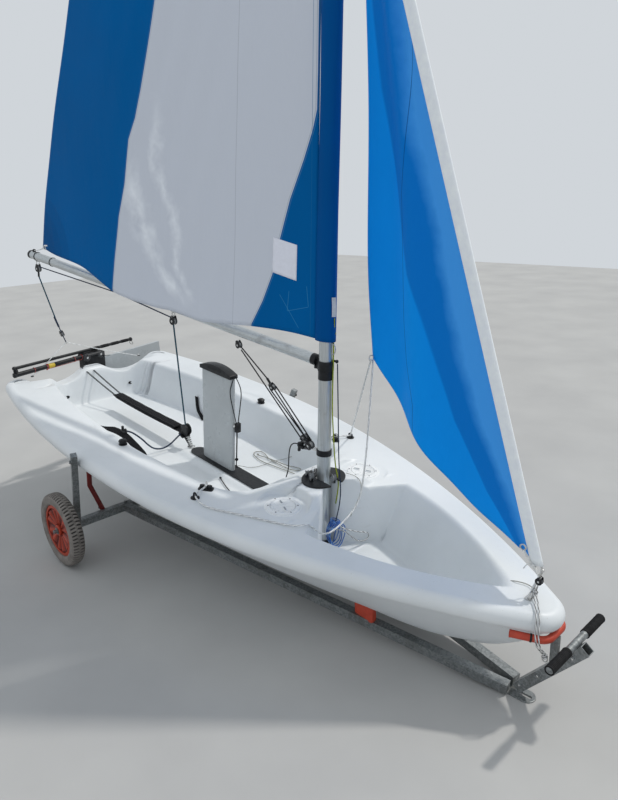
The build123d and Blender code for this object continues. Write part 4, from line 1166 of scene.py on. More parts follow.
def vang():
    """The four-part tackle that holds the boom down, with its cleat and its ring on the mast."""
    parts = Joined(HULL)
    pull = Vector((-0.72, -0.07, 0.69)).normalized()
    low, middle = Vector((2.222, -0.012, 0.588)), Vector((1.985, -0.04, 0.812))
    high = in_hull(BOOM, (-0.53, 0, -0.058))
    # the lower block: a big sheave and a small one in line, with long cheeks
    at = looking_up(low, pull)
    pulley(parts, at, 0.021, 0.026)
    pulley(parts, looking_up(low + pull * 0.046, -pull), 0.014, 0.022)
    for side in (-1, 1):
        parts.rod([(-0.004, side * 0.0125, -0.02), (-0.006, side * 0.0125, 0.06)], 0.0035, DARK_STEEL, at=at)
    # the cam cleat on its arm, aft of the block
    cleat = looking_up(low + Vector((-0.047, -0.008, -0.02)), (0.1, 0, 1))
    parts.box((0.04, 0.02, 0.012), BLACK, cleat)
    for side in (-1, 1):
        teeth = [(0.01 if k % 2 else 0.0082, z) for k, z in enumerate(np.linspace(-0.008, 0.008, 9))]
        parts.turned(teeth, 14, BLACK, cleat @ shift(-0.006, side * 0.009, 0.012))
    parts.box((0.05, 0.008, 0.008), DARK_STEEL, cleat @ shift(0.018, 0, -0.002) @ turn(-20, "Y"))
    parts.box((0.012, 0.014, 0.034), BLACK, cleat @ shift(-0.012, 0, -0.014))
    # the middle block and the upper one
    pulley(parts, looking_up(middle, pull), 0.016, 0.02)
    parts.rod([middle + pull * 0.02, middle + pull * 0.052], 0.006, BLACK, 10)
    upper = high + Vector((0.004, 0, -0.012))
    pulley(parts, looking_up(upper, (-0.35, 0, 1)), 0.016, 0.02)
    for start, end in (((1.772, -0.06, 0.948), (2.176, -0.02, 0.603)),
                       (high + Vector((0.02, -0.004, -0.012)), middle + pull * 0.05),
                       (middle + Vector((-0.014, -0.004, -0.012)), (2.19, -0.018, 0.624)),
                       (middle + Vector((0.012, -0.009, 0.006)), low + pull * 0.02 + Vector((0.012, -0.01, 0.01))),
                       (middle + Vector((0.014, 0.007, 0.008)), low + pull * 0.02 + Vector((0.014, 0.009, 0.01)))):
        parts.rod(steps(start, end), 0.0031, "black")
    knot(parts, (2.176, -0.02, 0.606), 0.009, "black")
    # the ring on the mast that the lower block hangs from
    centre = HULL.inverted() @ MAST
    wall = [(0.0315, 0.455), (0.0355, 0.457), (0.0355, 0.483), (0.0315, 0.485)]
    parts.add(lathe(wall, 32, True), BLACK, centre)
    parts.box((0.04, 0.01, 0.018), STEEL, centre @ turn(BOOM_YAW, "Z") @ shift(-0.052, 0, 0.47))
    piece = parts.finish("vang", "rig", "black_plastic")
    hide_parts("vang_boom_block", "vang_mast_block")
    end = end_knot("vang_tail_knot", (2.072, -0.03, 0.292), "black", 0.008, "rig")
    free_cord("vang_tail", "black", 0.0055, (
        (2.2, -0.016, 0.577), (2.17, -0.019, 0.569), (2.135, -0.024, 0.573), (2.107, -0.026, 0.552),
        (2.099, -0.028, 0.505), (2.102, -0.03, 0.45), (2.1, -0.03, 0.415), (2.088, -0.03, 0.375),
        (2.078, -0.03, 0.33), (2.072, -0.03, 0.292)), body="rig", extra=[end])


def mast_lines():
    """Halyard and downhaul tails that run down the front of the mast and through the collar."""
    lime = nurbs(((0.036, 0.008, 1.03), (0.036, 0.01, 0.901), (0.036, 0.008, 0.699), (0.036, 0.022, 0.548),
                  (0.037, 0.036, 0.409), (0.046, 0.05, 0.33), (0.05, 0.05, 0.285), (0.044, 0.04, 0.206)), MAST, 10)
    blue = nurbs(((0.051, 0.02, 0.896), (0.062, 0.02, 0.7), (0.075, 0.02, 0.427), (0.09, 0.02, 0.33),
                  (0.092, 0.02, 0.27), (0.085, 0.018, 0.2), (0.074, 0.01, 0.13)), MAST, 10)
    for name, line, radius, kind in (("halyard_tail", lime, 0.0028, "lime"), ("furling_line", blue, 0.0026, "navy")):
        points, faces, uvs = tube(line, radius, 8)
        piece = make_piece(name, points, faces, ROPES[kind], None, uvs=uvs)
        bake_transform(piece)
    parts = Joined(MAST)
    bow = [(0.03 + 0.02 * cos(a), 0.006, 0.962 + 0.026 * sin(a)) for a in np.linspace(-1.9, 1.9, 18)]
    parts.rod(bow, 0.0028, STEEL)
    parts.rod([(0.024, 0.02, 0.906), (0.046, 0.02, 0.906)], 0.005, BLACK, 12)
    parts.rod([(0.044, 0.02, 0.906), (0.05, 0.02, 0.906)], 0.008, BLACK, 12)
    knot(parts, (0.037, 0.01, 1.03), 0.0075, "lime")
    parts.rod(arch((0.038, 0.01, 1.03), (0.05, -0.004, 1.1), 0.0), 0.0022, "lime", 6)
    for z in (0.8245, 0.856):
        parts.turned([(0.033, z - 0.0012), (0.0337, z), (0.033, z + 0.0012)], 40, BLACK)
    for angle, z in ((200, 0.93), (160, 0.93), (180, 0.52), (90, 1.0), (-90, 1.0)):
        parts.turned([(0.0045, -0.001), (0.0045, 0.0008), (0.002, 0.0022)], 12, STEEL,
                     turn(angle, "Z") @ shift(0.031, 0, z) @ turn(90, "Y"))
    parts.finish("mast_fittings", "rig", "stainless")
    tab = Joined(MAST)
    tape = [(0.0505, -0.012, 1.19), (0.0525, -0.011, 1.15), (0.052, -0.01, 1.108)]
    grey = plain("tab_webbing", (0.62, 0.63, 0.64), 0.7, bump=0.0006, bump_scale=600.0)
    tab.add(ribbon(tape, (0.004, 0.008, 0), 0.0016), grey)
    tab = tab.finish("sleeve_tab", "rig", "sail_main")


# Where the ratchet block stands, the eyes that lead the jib's sheets, and their cleats
RATCHET_FOOT = (1.236, 0, 0.2125)
LEAD_X, LEAD_Y, CLEAT_X, CLEAT_Y = 2.012, 0.512, 1.978, 0.428


def mainsheet():
    """The bridle on the transom, the two falls of the sheet, the ratchet block and the sheet's tail."""
    parts = Joined(HULL)
    ring, lower, ferrule = Vector((0.037, -0.16, 0.59)), Vector((0.034, -0.18, 0.648)), Vector((0.031, -0.2, 0.711))
    for eye in ((0.012, -0.398, 0.389), (0.082, 0.348, 0.41)):
        parts.rod(arch(ring, eye, 0.006, 30), 0.0026, "plain")
        parts.turned([(0.01, 0), (0.01, 0.003), (0.004, 0.006)], 14, BLACK, shift(*eye))
        knot(parts, Vector(eye) + Vector((0, 0, 0.008)), 0.006, "plain")
    parts.add(hoop(ring, (0.009, 0, 0), (0, 0, 0.009), 0.0022, 6), STEEL)
    rise = ferrule - lower
    pulley(parts, looking_up(lower, rise), 0.017, 0.019)
    parts.rod(steps(ring, lower, ferrule, count=8), 0.0035, "navy")
    parts.finish("bridle", "root", "black_webbing")
    top = in_hull(BOOM, (-2.29, 0, -0.125))
    fall = Joined(HULL)
    fall.rod(steps(top, ferrule, count=60), 0.0043, "teal")
    fall.rod(steps(ferrule + rise * 0.9, ferrule - rise * 0.2, count=6), 0.0062, "navy", 10)
    piece = fall.finish("sheet_fall_aft", None, "black_webbing")
    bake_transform(piece)
    top = in_hull(BOOM, (-1.005, 0, -0.09))
    foot = Vector((1.19, -0.006, 0.34))
    fall = Joined(HULL)
    fall.rod(steps(top, foot, count=60), 0.0043, "teal")
    piece = fall.finish("sheet_fall_middle", None, "black_webbing")
    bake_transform(piece)

    parts = Joined(HULL)
    at = shift(1.188, 0, 0.307) @ turn(180, "X")
    pulley(parts, at, 0.033, 0.024, wheel=BLACK)
    for side in (-1, 1):
        parts.turned([(0.0335, 0), (0.0335, 0.002), (0.025, 0.0035), (0.024, 0.0022)], 30, BLACK,
                     at @ shift(0, side * 0.0135, 0) @ turn(-90 * side, "X"))
        for angle in range(0, 360, 60):
            parts.box((0.016, 0.004, 0.002, 0.0006), DARK_STEEL,
                      at @ turn(angle, "Y") @ shift(0.014, side * 0.0145, 0) @ turn(90, "X"))
    foot = shift(*RATCHET_FOOT)
    spring = looking_up(RATCHET_FOOT, (-0.036, 0, 0.066))
    coil = [(0.0125 * cos(a), 0.0125 * sin(a), 0.004 + 0.0019 * a) for a in np.linspace(0, 10 * pi, 110)]
    parts.rod(coil, 0.0021, STEEL, 6, at=spring)
    parts.turned([(0.006, 0.0), (0.006, 0.068), (0.003, 0.07)], 18, STEEL, spring)
    parts.turned([(0.0225, 0.0), (0.0225, 0.003), (0.016, 0.006), (0.006, 0.008)], 28, STEEL, foot)
    for angle in (45, 135, 225, 315):
        parts.turned([(0.003, 0), (0.003, 0.0015), (0.001, 0.0025)], 10, DARK_STEEL,
                     foot @ turn(angle, "Z") @ shift(0.0185, 0, 0.003))
    parts.turned([(0.011, 0.06), (0.013, 0.064), (0.013, 0.07), (0.008, 0.074)], 18, BLACK, spring)
    parts.box((0.044, 0.018, 0.012), BLACK, shift(1.166, -0.018, 0.268) @ turn(25, "Y"))
    piece = parts.finish("ratchet", "root", "black_plastic")
    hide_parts("ratchet_block")
    end = Joined(HULL)
    end.box((0.05, 0.016, 0.01), BLACK, shift(1.178, -0.392, 0.4015))
    end.box((0.012, 0.012, 0.026), BLACK, shift(1.16, -0.388, 0.4125))
    end.box((0.012, 0.012, 0.022), BLACK, shift(1.192, -0.39, 0.4095))
    end = end.finish("sheet_clip", "root", "black_plastic")
    free_cord("mainsheet_tail", "navy", 0.009, (
        (1.168, -0.026, 0.278), (1.15, -0.052, 0.245), (1.134, -0.075, 0.215), (1.128, -0.105, 0.201),
        (1.125, -0.14, 0.199), (1.121, -0.18, 0.212), (1.128, -0.22, 0.25), (1.146, -0.265, 0.305),
        (1.162, -0.31, 0.35), (1.172, -0.345, 0.382), (1.175, -0.378, 0.399)), extra=[end])


def collar_blocks():
    """Turning blocks and the pin beside the mast, and the plate that they stand on."""
    parts = Joined(HULL)
    for x, y, z, r in ((2.297, -0.066, 0.476, 0.016), (2.25, -0.05, 0.47, 0.011), (2.377, -0.003, 0.477, 0.017)):
        at = shift(x, y, z) @ turn(-28, "Z") @ turn(180, "X")
        pulley(parts, at, r, 0.014, SHEAVE)
        parts.turned([(0.008, 0), (0.008, 0.004), (0.004, 0.008)], 14, BLACK, shift(x, y, 0.4535))
    parts.rod([(2.258, -0.02, 0.468), (2.29, -0.052, 0.5)], 0.0042, MATERIALS["hatch_white"], 10)
    parts.add(hoop((2.262, -0.02, 0.478), (0.012, 0, 0), (0, 0, 0.014), 0.0014, 6, 18), "plain")
    for angle in range(20, 380, 60):
        x, y = 0.037 * cos(math.radians(angle)), 0.049 * sin(math.radians(angle))
        parts.turned([(0.0035, 0), (0.0035, 0.0012), (0.0012, 0.0022)], 10, DARK_STEEL, shift(2.31 + x, y, 0.4538))
    parts.finish("collar_blocks", "root", "stainless")


def jib_sheets():
    """The port sheet, taut from the clew's ring to its cleat, and the starboard one, which hangs slack."""
    clew, lead = Vector((2.425, 0.137, 1.037)), (LEAD_X, LEAD_Y, 0.4145)
    parts = Joined(HULL)
    parts.add(hoop(clew, (0.011, 0, 0), (0, 0.004, 0.011), 0.0028), STEEL)
    parts.rod(steps(clew - Vector((0, 0, 0.008)), lead, count=50), 0.004, "white")
    parts.rod(steps(lead, (CLEAT_X, CLEAT_Y, 0.4165), (1.962, 0.388, 0.406), count=10), 0.004, "white")
    knot(parts, clew - Vector((-0.004, 0, 0.01)), 0.008, "white")
    parts.finish("jib_sheet_port", "root", "stainless")
    free_cord("jib_sheet_starboard", "white", 0.008, (
        (2.427, 0.15, 1.022), (2.437, 0.14, 0.9), (2.45, 0.125, 0.76), (2.462, 0.112, 0.64), (2.472, 0.097, 0.56),
        (2.48, 0.082, 0.48), (2.487, 0.066, 0.42), (2.492, 0.04, 0.375), (2.495, 0.005, 0.35), (2.497, -0.04, 0.328),
        (2.498, -0.09, 0.31), (2.5, -0.14, 0.303), (2.502, -0.185, 0.315), (2.508, -0.225, 0.345),
        (2.516, -0.262, 0.382), (2.515, -0.292, 0.414), (2.5, -0.322, 0.413), (2.466, -0.35, 0.408),
        (2.42, -0.374, 0.4065), (2.36, -0.402, 0.4065), (2.3, -0.432, 0.4065), (2.24, -0.464, 0.4065),
        (2.17, -0.503, 0.4065), (2.1, -0.53, 0.4075), (2.045, -0.526, 0.412), (2.012, -0.512, 0.415),
        (1.996, -0.474, 0.4155), (1.98, -0.432, 0.4165)))


def board_elastic():
    """The shock cord that holds the daggerboard up: a loop from its handle, a cord stop and a hook."""
    parts = Joined(HULL)
    x = 1.652
    for line in (((x - 0.008, -0.004, 0.757), (x, -0.03, 0.72), (x + 0.002, -0.04, 0.68), (x + 0.002, -0.02, 0.59),
                  (x + 0.001, 0.004, 0.5)),
                 ((x - 0.008, 0.006, 0.757), (x + 0.002, 0.028, 0.71), (x + 0.004, 0.036, 0.655),
                  (x + 0.003, 0.026, 0.58), (x + 0.001, 0.016, 0.5))):
        parts.curve(line, 0.0026, "black", resolution=10)
    parts.rod(steps((x, 0.01, 0.47), (x, 0.007, 0.29), count=20), 0.0036, "black")
    parts.box((0.02, 0.03, 0.052), BLACK, shift(x + 0.001, 0.014, 0.474))
    parts.box((0.01, 0.012, 0.014), STEEL, shift(x - 0.004, -0.004, 0.486))
    knot(parts, (x, 0.007, 0.288), 0.009, "black")
    hook = [(x, 0.006, 0.284), (x + 0.001, 0.004, 0.262), (x + 0.006, 0.0, 0.248), (x + 0.014, -0.002, 0.246),
            (x + 0.018, -0.002, 0.256)]
    parts.curve(hook, 0.003, BLACK)
    piece = parts.finish("board_elastic", None, "black_webbing")
    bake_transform(piece)
    slot = Joined(HULL)
    dark = plain("slot_shadow", (0.006, 0.006, 0.007), 0.7, bump=0.0003)
    edge = rounded([(-0.055, -0.006), (0.055, -0.006), (0.055, 0.006), (-0.055, 0.006)], 0.006)
    for side in (-1, 1):
        slot.add(plate(edge, 0.002, 0.0006), dark, shift(1.505, side * 0.0262, 0.768) @ turn(90, "X"))
    slot.finish("board_handle_slots", "daggerboard", "black_plastic")


def floor_ropes():
    """Spare shock cord and thin lines that lie in the cockpit and the well."""
    free_cord("cockpit_cord", "grey", 0.0052, (
        (1.905, 0.268, 0.1995), (1.86, 0.256, 0.199), (1.795, 0.244, 0.198), (1.708, 0.23, 0.1975),
        (1.619, 0.213, 0.1965), (1.548, 0.226, 0.1965), (1.508, 0.243, 0.196), (1.496, 0.272, 0.1955),
        (1.52, 0.3, 0.196), (1.56, 0.292, 0.1965), (1.625, 0.264, 0.197), (1.716, 0.266, 0.1975),
        (1.795, 0.266, 0.1985), (1.838, 0.292, 0.199), (1.838, 0.322, 0.1995), (1.8, 0.312, 0.199),
        (1.755, 0.285, 0.2005), (1.683, 0.278, 0.1995), (1.6, 0.262, 0.2), (1.545, 0.252, 0.1965)),
        extra=[end_knot("cockpit_cord_knot", (1.541, 0.251, 0.2), "grey")])
    free_cord("cockpit_line", "grey", 0.003, (
        (1.583, 0.046, 0.215), (1.606, 0.08, 0.206), (1.634, 0.113, 0.1955), (1.655, 0.17, 0.1945),
        (1.664, 0.222, 0.201), (1.668, 0.262, 0.203), (1.676, 0.328, 0.1965), (1.704, 0.366, 0.211),
        (1.734, 0.383, 0.237)))
    free_cord("side_cord", "black", 0.0055, (
        (2.01, -0.225, 0.202), (1.95, -0.196, 0.2005), (1.88, -0.164, 0.2), (1.8, -0.142, 0.199),
        (1.736, -0.125, 0.1985), (1.675, -0.104, 0.1985), (1.634, -0.088, 0.199)),
        extra=[end_knot("side_cord_knot", (1.63, -0.086, 0.199), "black")])


# Straps

def webbing(name):
    """Woven nylon tape: ribs across it and two lines of stitching."""
    colour = (0.007, 0.007, 0.009)
    p = Paint(name, colour, 0.75)
    p.set("Specular IOR Level", 0.2)
    _, across, along = p.uv()
    ribs, threads = p.math("SINE", p.times(along, 3200.0)), p.math("SINE", p.times(across, 5200.0))
    p.mottle(p.noise(70, 4), shade(colour, 0.7), shade(colour, 1.5))
    off = p.size(p.minus(p.size(across), 0.024))
    dash = p.math("GREATER_THAN", p.math("SINE", p.times(along, 1400.0)), -0.2)
    p.tint(p.times(p.span(off, 0.0012, 0.0006), dash), (0.07, 0.07, 0.075))
    p.bump(p.math("ADD", ribs, threads), 0.0004, 0.6)
    return p.mat


def strap_height(x, start, length, height, sag):
    """A strap's height, which rises by a centimetre along its length and sags between its ends."""
    t = (x - start) / length
    return height + 0.01 * t - sag * sin(pi * t)


def toe_strap():
    """The padded hiking strap, with the webbing under it and the cords that hold its aft end."""
    tape, around = webbing("strap_webbing"), 28
    line = [(x, 0.0, strap_height(x, 0.395, 0.71, 0.288, 0.004)) for x in np.linspace(0.398, 1.104, 90)]
    points, uvs = [], []
    for k, (x, _, middle) in enumerate(line):
        t = k / (len(line) - 1)
        end = min(1.0, min(t, 1 - t) * 14 + 0.45)
        wide = 0.0305 * (0.93 + 0.07 * end) * (1 + 0.012 * sin(t * 23) + 0.01 * sin(t * 51))
        for a in ring_of(around):
            c, s = cos(a), sin(a)
            y = wide * math.copysign(abs(c) ** 0.55, c)
            z = 0.0098 * end * math.copysign(abs(s) ** 0.7, s) * (1 + 0.1 * sin(t * 37 + c * 2))
            points.append(place(HULL, (x, y, middle + z)))
            uvs.append((y, x))
    pad = make_piece("toe_strap_pad", points, skin(len(line), around), tape, "root", uvs=uvs)
    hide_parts("toe_strap")
    parts = Joined(HULL)
    under = [(0.385, 0, 0.286), (0.43, 0, 0.277)]
    under += [(x, 0, strap_height(x, 0.43, 0.67, 0.2765, 0.006)) for x in np.linspace(0.5, 1.06, 24)]
    under += [(1.1, 0, 0.284), (1.14, 0, 0.272), (1.185, 0, 0.248), (1.226, 0, 0.2155)]
    wide = [(0, 0.029 if k < len(under) - 3 else 0.0085, 0) for k in range(len(under))]
    parts.add(ribbon(under, wide, 0.0026), tape)
    web = parts.finish("toe_strap_webbing", "root", "black_webbing")
    parts = Joined(HULL)
    for side, lip in ((-1, (0.046, -0.066, 0.392)), (1, (0.048, -0.014, 0.392))):
        parts.rod([(x, side * 0.0305, z) for x, _, z in line], 0.0022, "black", 6)
        for gap in (-0.0035, 0.0035):
            start, end = Vector((0.393, side * 0.02 + gap, 0.287)), Vector(lip) + Vector((0, gap, 0))
            parts.rod(arch(start, end, 0.003, 20), 0.0021, "black", 6)
    parts.rod([(0.04, -0.072, 0.395), (0.04, -0.006, 0.395)], 0.005, BLACK)
    parts.finish("toe_strap_cords", "root", "black_webbing")


def side_straps():
    """A strap along each side of the cockpit, the port one half hidden."""
    tape = webbing("side_webbing")
    parts = Joined(HULL)
    line = curve_points([(0.955, -0.444, 0.38), (1.0, -0.424, 0.373), (1.086, -0.406, 0.384), (1.198, -0.402, 0.3885),
                         (1.291, -0.404, 0.3745), (1.404, -0.416, 0.36), (1.46, -0.438, 0.37)], 50)
    wide = [Vector((0, 0.015, 0.01)) * min(1.0, 0.12 + k / 14) for k in range(50)]
    parts.add(ribbon([tuple(p) for p in line], wide, 0.0022), tape)
    strap = parts.finish("strap_starboard", "root", "black_webbing")
    parts = Joined(HULL)
    line = curve_points([(0.748, 0.381, 0.287), (0.76, 0.376, 0.258), (0.774, 0.369, 0.232), (0.8, 0.358, 0.209),
                         (0.84, 0.346, 0.197), (0.905, 0.322, 0.192)], 30)
    wide = [Vector((0.015, 0.001, 0.001)).lerp(Vector((0.003, 0.01, 0.008)), k / 29) for k in range(30)]
    parts.add(ribbon([tuple(p) for p in line], wide, 0.0022), tape)
    strap = parts.finish("strap_port", "root", "black_webbing")


# Deck fittings

def hatches():
    """Round covers with a raised rim, a dished middle, a two-part bar with a patch of painted shade in each half's
    hollow, and six screws.
    """
    white = MATERIALS["hatch_white"]
    painted_recess_shade = plain("hatch_recess_shade", (0.3, 0.33, 0.36), 0.4, vary=0.1)
    for side, name in SIDES:
        parts = Joined(HULL)
        at = shift(HATCH_X, side * HATCH_Y, SEAT) @ turn(25 * side, "Z")
        ring = [(0.0, 0.0), (0.0575, 0.0015), (0.0575, 0.006), (0.059, 0.0082), (0.0715, 0.008), (0.0755, 0.006),
                (0.0765, 0.0016), (0.0838, 0.001), (0.0843, 0.0)]
        parts.turned(ring, 72, white, at)
        disc = [(0.0, 0.0052), (0.048, 0.0052), (0.05, 0.0062), (0.0525, 0.0074), (0.055, 0.0068), (0.056, 0.004)]
        parts.turned(disc, 72, white, at @ shift(0, 0, 0.0008))
        for angle in (0, 180):
            bar = rounded([(0.012, -0.009), (0.047, -0.0065), (0.047, 0.0065), (0.012, 0.009)], 0.007)
            parts.add(plate(bar, 0.0052, 0.002), white, at @ turn(angle, "Z") @ shift(0, 0, 0.0076))
            # a grey patch on each bar half stands for its hollow: painted shade
            hollow = rounded([(0.016, -0.0045), (0.044, -0.003), (0.044, 0.003), (0.016, 0.0045)], 0.003)
            parts.add(plate(hollow, 0.0012, 0.0004), painted_recess_shade, at @ turn(angle, "Z") @ shift(0, 0, 0.0104))
        for angle in range(15, 375, 60):
            screw(parts, at @ turn(angle, "Z") @ shift(0.066, 0, 0.008), 0.0034)
        piece = parts.finish("hatch_cover_" + name, "root", "hatch_white")
        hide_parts("hatch_" + name)


def rowlock_knobs():
    """Eight-sided plugs in the rowlocks' sockets, with a tab."""
    parts = Joined(HULL)
    for side in (-1, 1):
        at = shift(ROWLOCK_X, side * 0.47, 0.3945)
        parts.turned([(0.022, 0.0), (0.022, 0.004), (0.014, 0.007), (0.012, 0.01)], 24, BLACK, at)
        knob = [(0.014, 0.009), (0.021, 0.012), (0.0225, 0.017), (0.021, 0.023), (0.015, 0.0275), (0.005, 0.029)]
        parts.turned(knob, 8, BLACK, at @ turn(14, "Z"))
        parts.box((0.022, 0.008, 0.006), BLACK, at @ shift(-0.022, 0, 0.015))
    piece = parts.finish("rowlock_knobs", "root", "black_plastic", sharp=20)
    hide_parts("rowlock_plugs")


def cleats():
    """Cam cleats and eyes for the jib's sheets, and the drains in the transom."""
    parts = Joined(HULL)
    for side in (-1, 1):
        at = shift(CLEAT_X, side * CLEAT_Y, SEAT) @ turn(-35 * side, "Z")
        base = rounded([(-0.036, -0.017), (0.036, -0.017), (0.036, 0.017), (-0.036, 0.017)], 0.01)
        parts.add(plate(base, 0.007, 0.002), BLACK, at @ shift(0, 0, 0.0035))
        for end in (-1, 1):
            teeth = []
            for k, a in enumerate(ring_of(24)):
                r = 0.0125 if k % 2 else 0.0108
                teeth.append((r * cos(a) * 1.05, r * sin(a) * 0.8))
            parts.add(plate(teeth, 0.014, 0.0015), BLACK, at @ shift(end * 0.0165, 0, 0.015))
            screw(parts, at @ shift(end * 0.0165, 0, 0.022), 0.004)
        arc = [(0.0, 0.014 * cos(a), 0.02 + 0.015 * sin(a)) for a in np.linspace(-0.3, pi + 0.3, 18)]
        parts.rod(arc, 0.0024, STEEL, at=at @ shift(0, side * -0.001, 0.002))
        lead = shift(LEAD_X, side * LEAD_Y, SEAT) @ turn(-35 * side, "Z")
        parts.turned([(0.0205, 0), (0.0205, 0.004), (0.014, 0.006)], 24, BLACK, lead)
        eye = hoop((0, 0, 0.014), (0.0115, 0, 0), (0, 0, 0.0115), 0.0042, 10, 24)
        parts.add(eye, BLACK, lead @ turn(40 * side, "Z"))
    piece = parts.finish("jib_cleat_pair", "root", "black_plastic", sharp=25)
    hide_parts("jib_cleats")
    drains = Joined(HULL)
    for side in (-1, 1):
        drains.turned([(0.013, 0.0), (0.013, 0.003), (0.009, 0.004), (0.008, 0.001)], 24, BLACK,
                      shift(0.1455, side * 0.235, 0.2455) @ turn(72, "Y") @ Matrix.Diagonal((0.75, 1.25, 1, 1)))
    drains.finish("drains", "root", "black_plastic")


def bow_gear():
    """Tack lashing, shackle and block at the stem, and the painter that goes down to the trolley."""
    parts = Joined(HULL)
    tack, eye = Vector((3.314, -0.009, 0.586)), Vector((3.383, 0, 0.42))
    top = Vector((3.39, 0, 0.496))
    for k in range(3):
        off = Vector((0.0, (k - 1) * 0.0045, 0))
        parts.rod(arch(tack + off * 0.5 + Vector((0.004, 0, -0.01)), top + off, 0.0, 12), 0.0024, "plain", 6)
    knot(parts, tack.lerp(top, 0.62), 0.009, "plain")
    parts.add(hoop(tack, (0.011, 0, 0), (0, 0, 0.011), 0.003, 8, 22), STEEL)
    pulley(parts, shift(3.391, 0, 0.478) @ turn(15, "Y"), 0.0135, 0.015)
    for k in (-1, 1):
        parts.rod(arch((3.39, 0.003 * k, 0.464), (3.385, 0.003 * k, 0.426), 0.0, 8), 0.0022, "mixed", 6)
    shackle(parts, shift(0, 0, 0.022) @ shift(*eye), 0.014, 0.0024)
    for tail in (((3.362, -0.004, 0.53), (3.366, 0.012, 0.515), (3.372, 0.022, 0.5), (3.38, 0.026, 0.484)),
                 ((3.362, -0.004, 0.53), (3.35, -0.014, 0.54), (3.34, -0.018, 0.528), (3.334, -0.02, 0.512))):
        parts.curve(tail, 0.0021, "plain", 6)
    parts.finish("tack_lashing", "root", "stainless")
    parts = Joined(HULL)
    for k in (-1, 1):
        line = [(x + 0.0042 * k, y + 0.003 * k, z) for x, y, z in (
            (3.384, -0.004, 0.428), (3.404, -0.026, 0.415), (3.428, -0.061, 0.411), (3.448, -0.089, 0.398),
            (3.457, -0.102, 0.366), (3.466, -0.108, 0.33), (3.473, -0.104, 0.302), (3.476, -0.078, 0.27),
            (3.476, -0.046, 0.238), (3.474, -0.027, 0.215))]
        parts.curve(line, 0.003, "mixed", resolution=10)
    knot(parts, (3.473, -0.026, 0.212), 0.01, "mixed")
    parts.add(hoop((3.474, -0.02, 0.198), (0.01, 0, 0), (0, 0, 0.013), 0.0024, 8, 18), STEEL)
    knot(parts, (3.386, -0.003, 0.43), 0.0085, "mixed")
    knot(parts, (3.381, 0.01, 0.421), 0.0065, "grey")
    parts.finish("painter", "root", "black_webbing")
    free_cord("bow_line", "grey", 0.004, (
        (3.38, 0.012, 0.42), (3.366, 0.034, 0.411), (3.342, 0.05, 0.4065), (3.318, 0.046, 0.407),
        (3.292, 0.034, 0.407), (3.266, 0.03, 0.396), (3.248, 0.028, 0.37), (3.236, 0.026, 0.344)))
    free_cord("well_cord", "grey", 0.003, (
        (2.352, 0.106, 0.456), (2.382, 0.122, 0.453), (2.412, 0.13, 0.445), (2.43, 0.132, 0.422),
        (2.448, 0.11, 0.395), (2.458, 0.082, 0.365), (2.46, 0.056, 0.33), (2.452, 0.046, 0.29)))


def furled_lines():
    """The blue hank in the mast's slot and the tail loop that hangs out of it."""
    blue = Joined(HULL)
    hank = [(2.395, 0.005, 0.255), (2.392, -0.046, 0.238), (2.394, -0.045, 0.19), (2.398, -0.028, 0.14),
            (2.4, 0.01, 0.116), (2.401, 0.046, 0.14), (2.4, 0.054, 0.19), (2.398, 0.046, 0.235)]
    for k in range(5):
        loop = []
        for i, (x, y, z) in enumerate(hank):
            wave = sin(i * 2.1 + k * 1.7)
            loop.append((x + 0.01 * (k - 2) + 0.003 * wave, y * (0.55 + 0.1 * k) + 0.003 * wave,
                         0.2 + (z - 0.2) * (0.98 - 0.05 * ((k * 3) % 4))))
        loop.append(loop[0])
        blue.curve(loop, 0.0026, "blue", 7)
    wrap = [(2.396 + 0.026 * cos(a), 0.004 + 0.018 * sin(a), 0.224 + 0.0016 * a) for a in np.linspace(0, 8 * pi, 80)]
    blue.rod(wrap, 0.0026, "blue", 7)
    blue.finish("furling_hank", "root", "black_webbing")
    free_cord("tail_loop", "mixed", 0.0058, (
        (2.452, -0.024, 0.262), (2.468, 0.0, 0.248), (2.474, 0.045, 0.222), (2.476, 0.09, 0.2),
        (2.476, 0.125, 0.184), (2.475, 0.155, 0.166), (2.474, 0.166, 0.148), (2.473, 0.155, 0.132),
        (2.472, 0.128, 0.13), (2.47, 0.085, 0.152), (2.468, 0.045, 0.186), (2.466, 0.015, 0.22),
        (2.458, -0.01, 0.24), (2.45, -0.03, 0.25)))


# Wheels, trolley and rudder head

def wheel_ring(centre, grid, hollow, name, body, slot):
    """A closed ring from a grid of points round it, with painted shade where it is hollow."""
    parts = Joined(centre)
    uvs = [(float(h), 0.0) for h in hollow.ravel()]
    parts.add((grid.reshape(-1, 3).tolist(), skin(*grid.shape[:2], True), uvs), MATERIALS[slot])
    return parts.finish(name, body, slot, sharp=50)


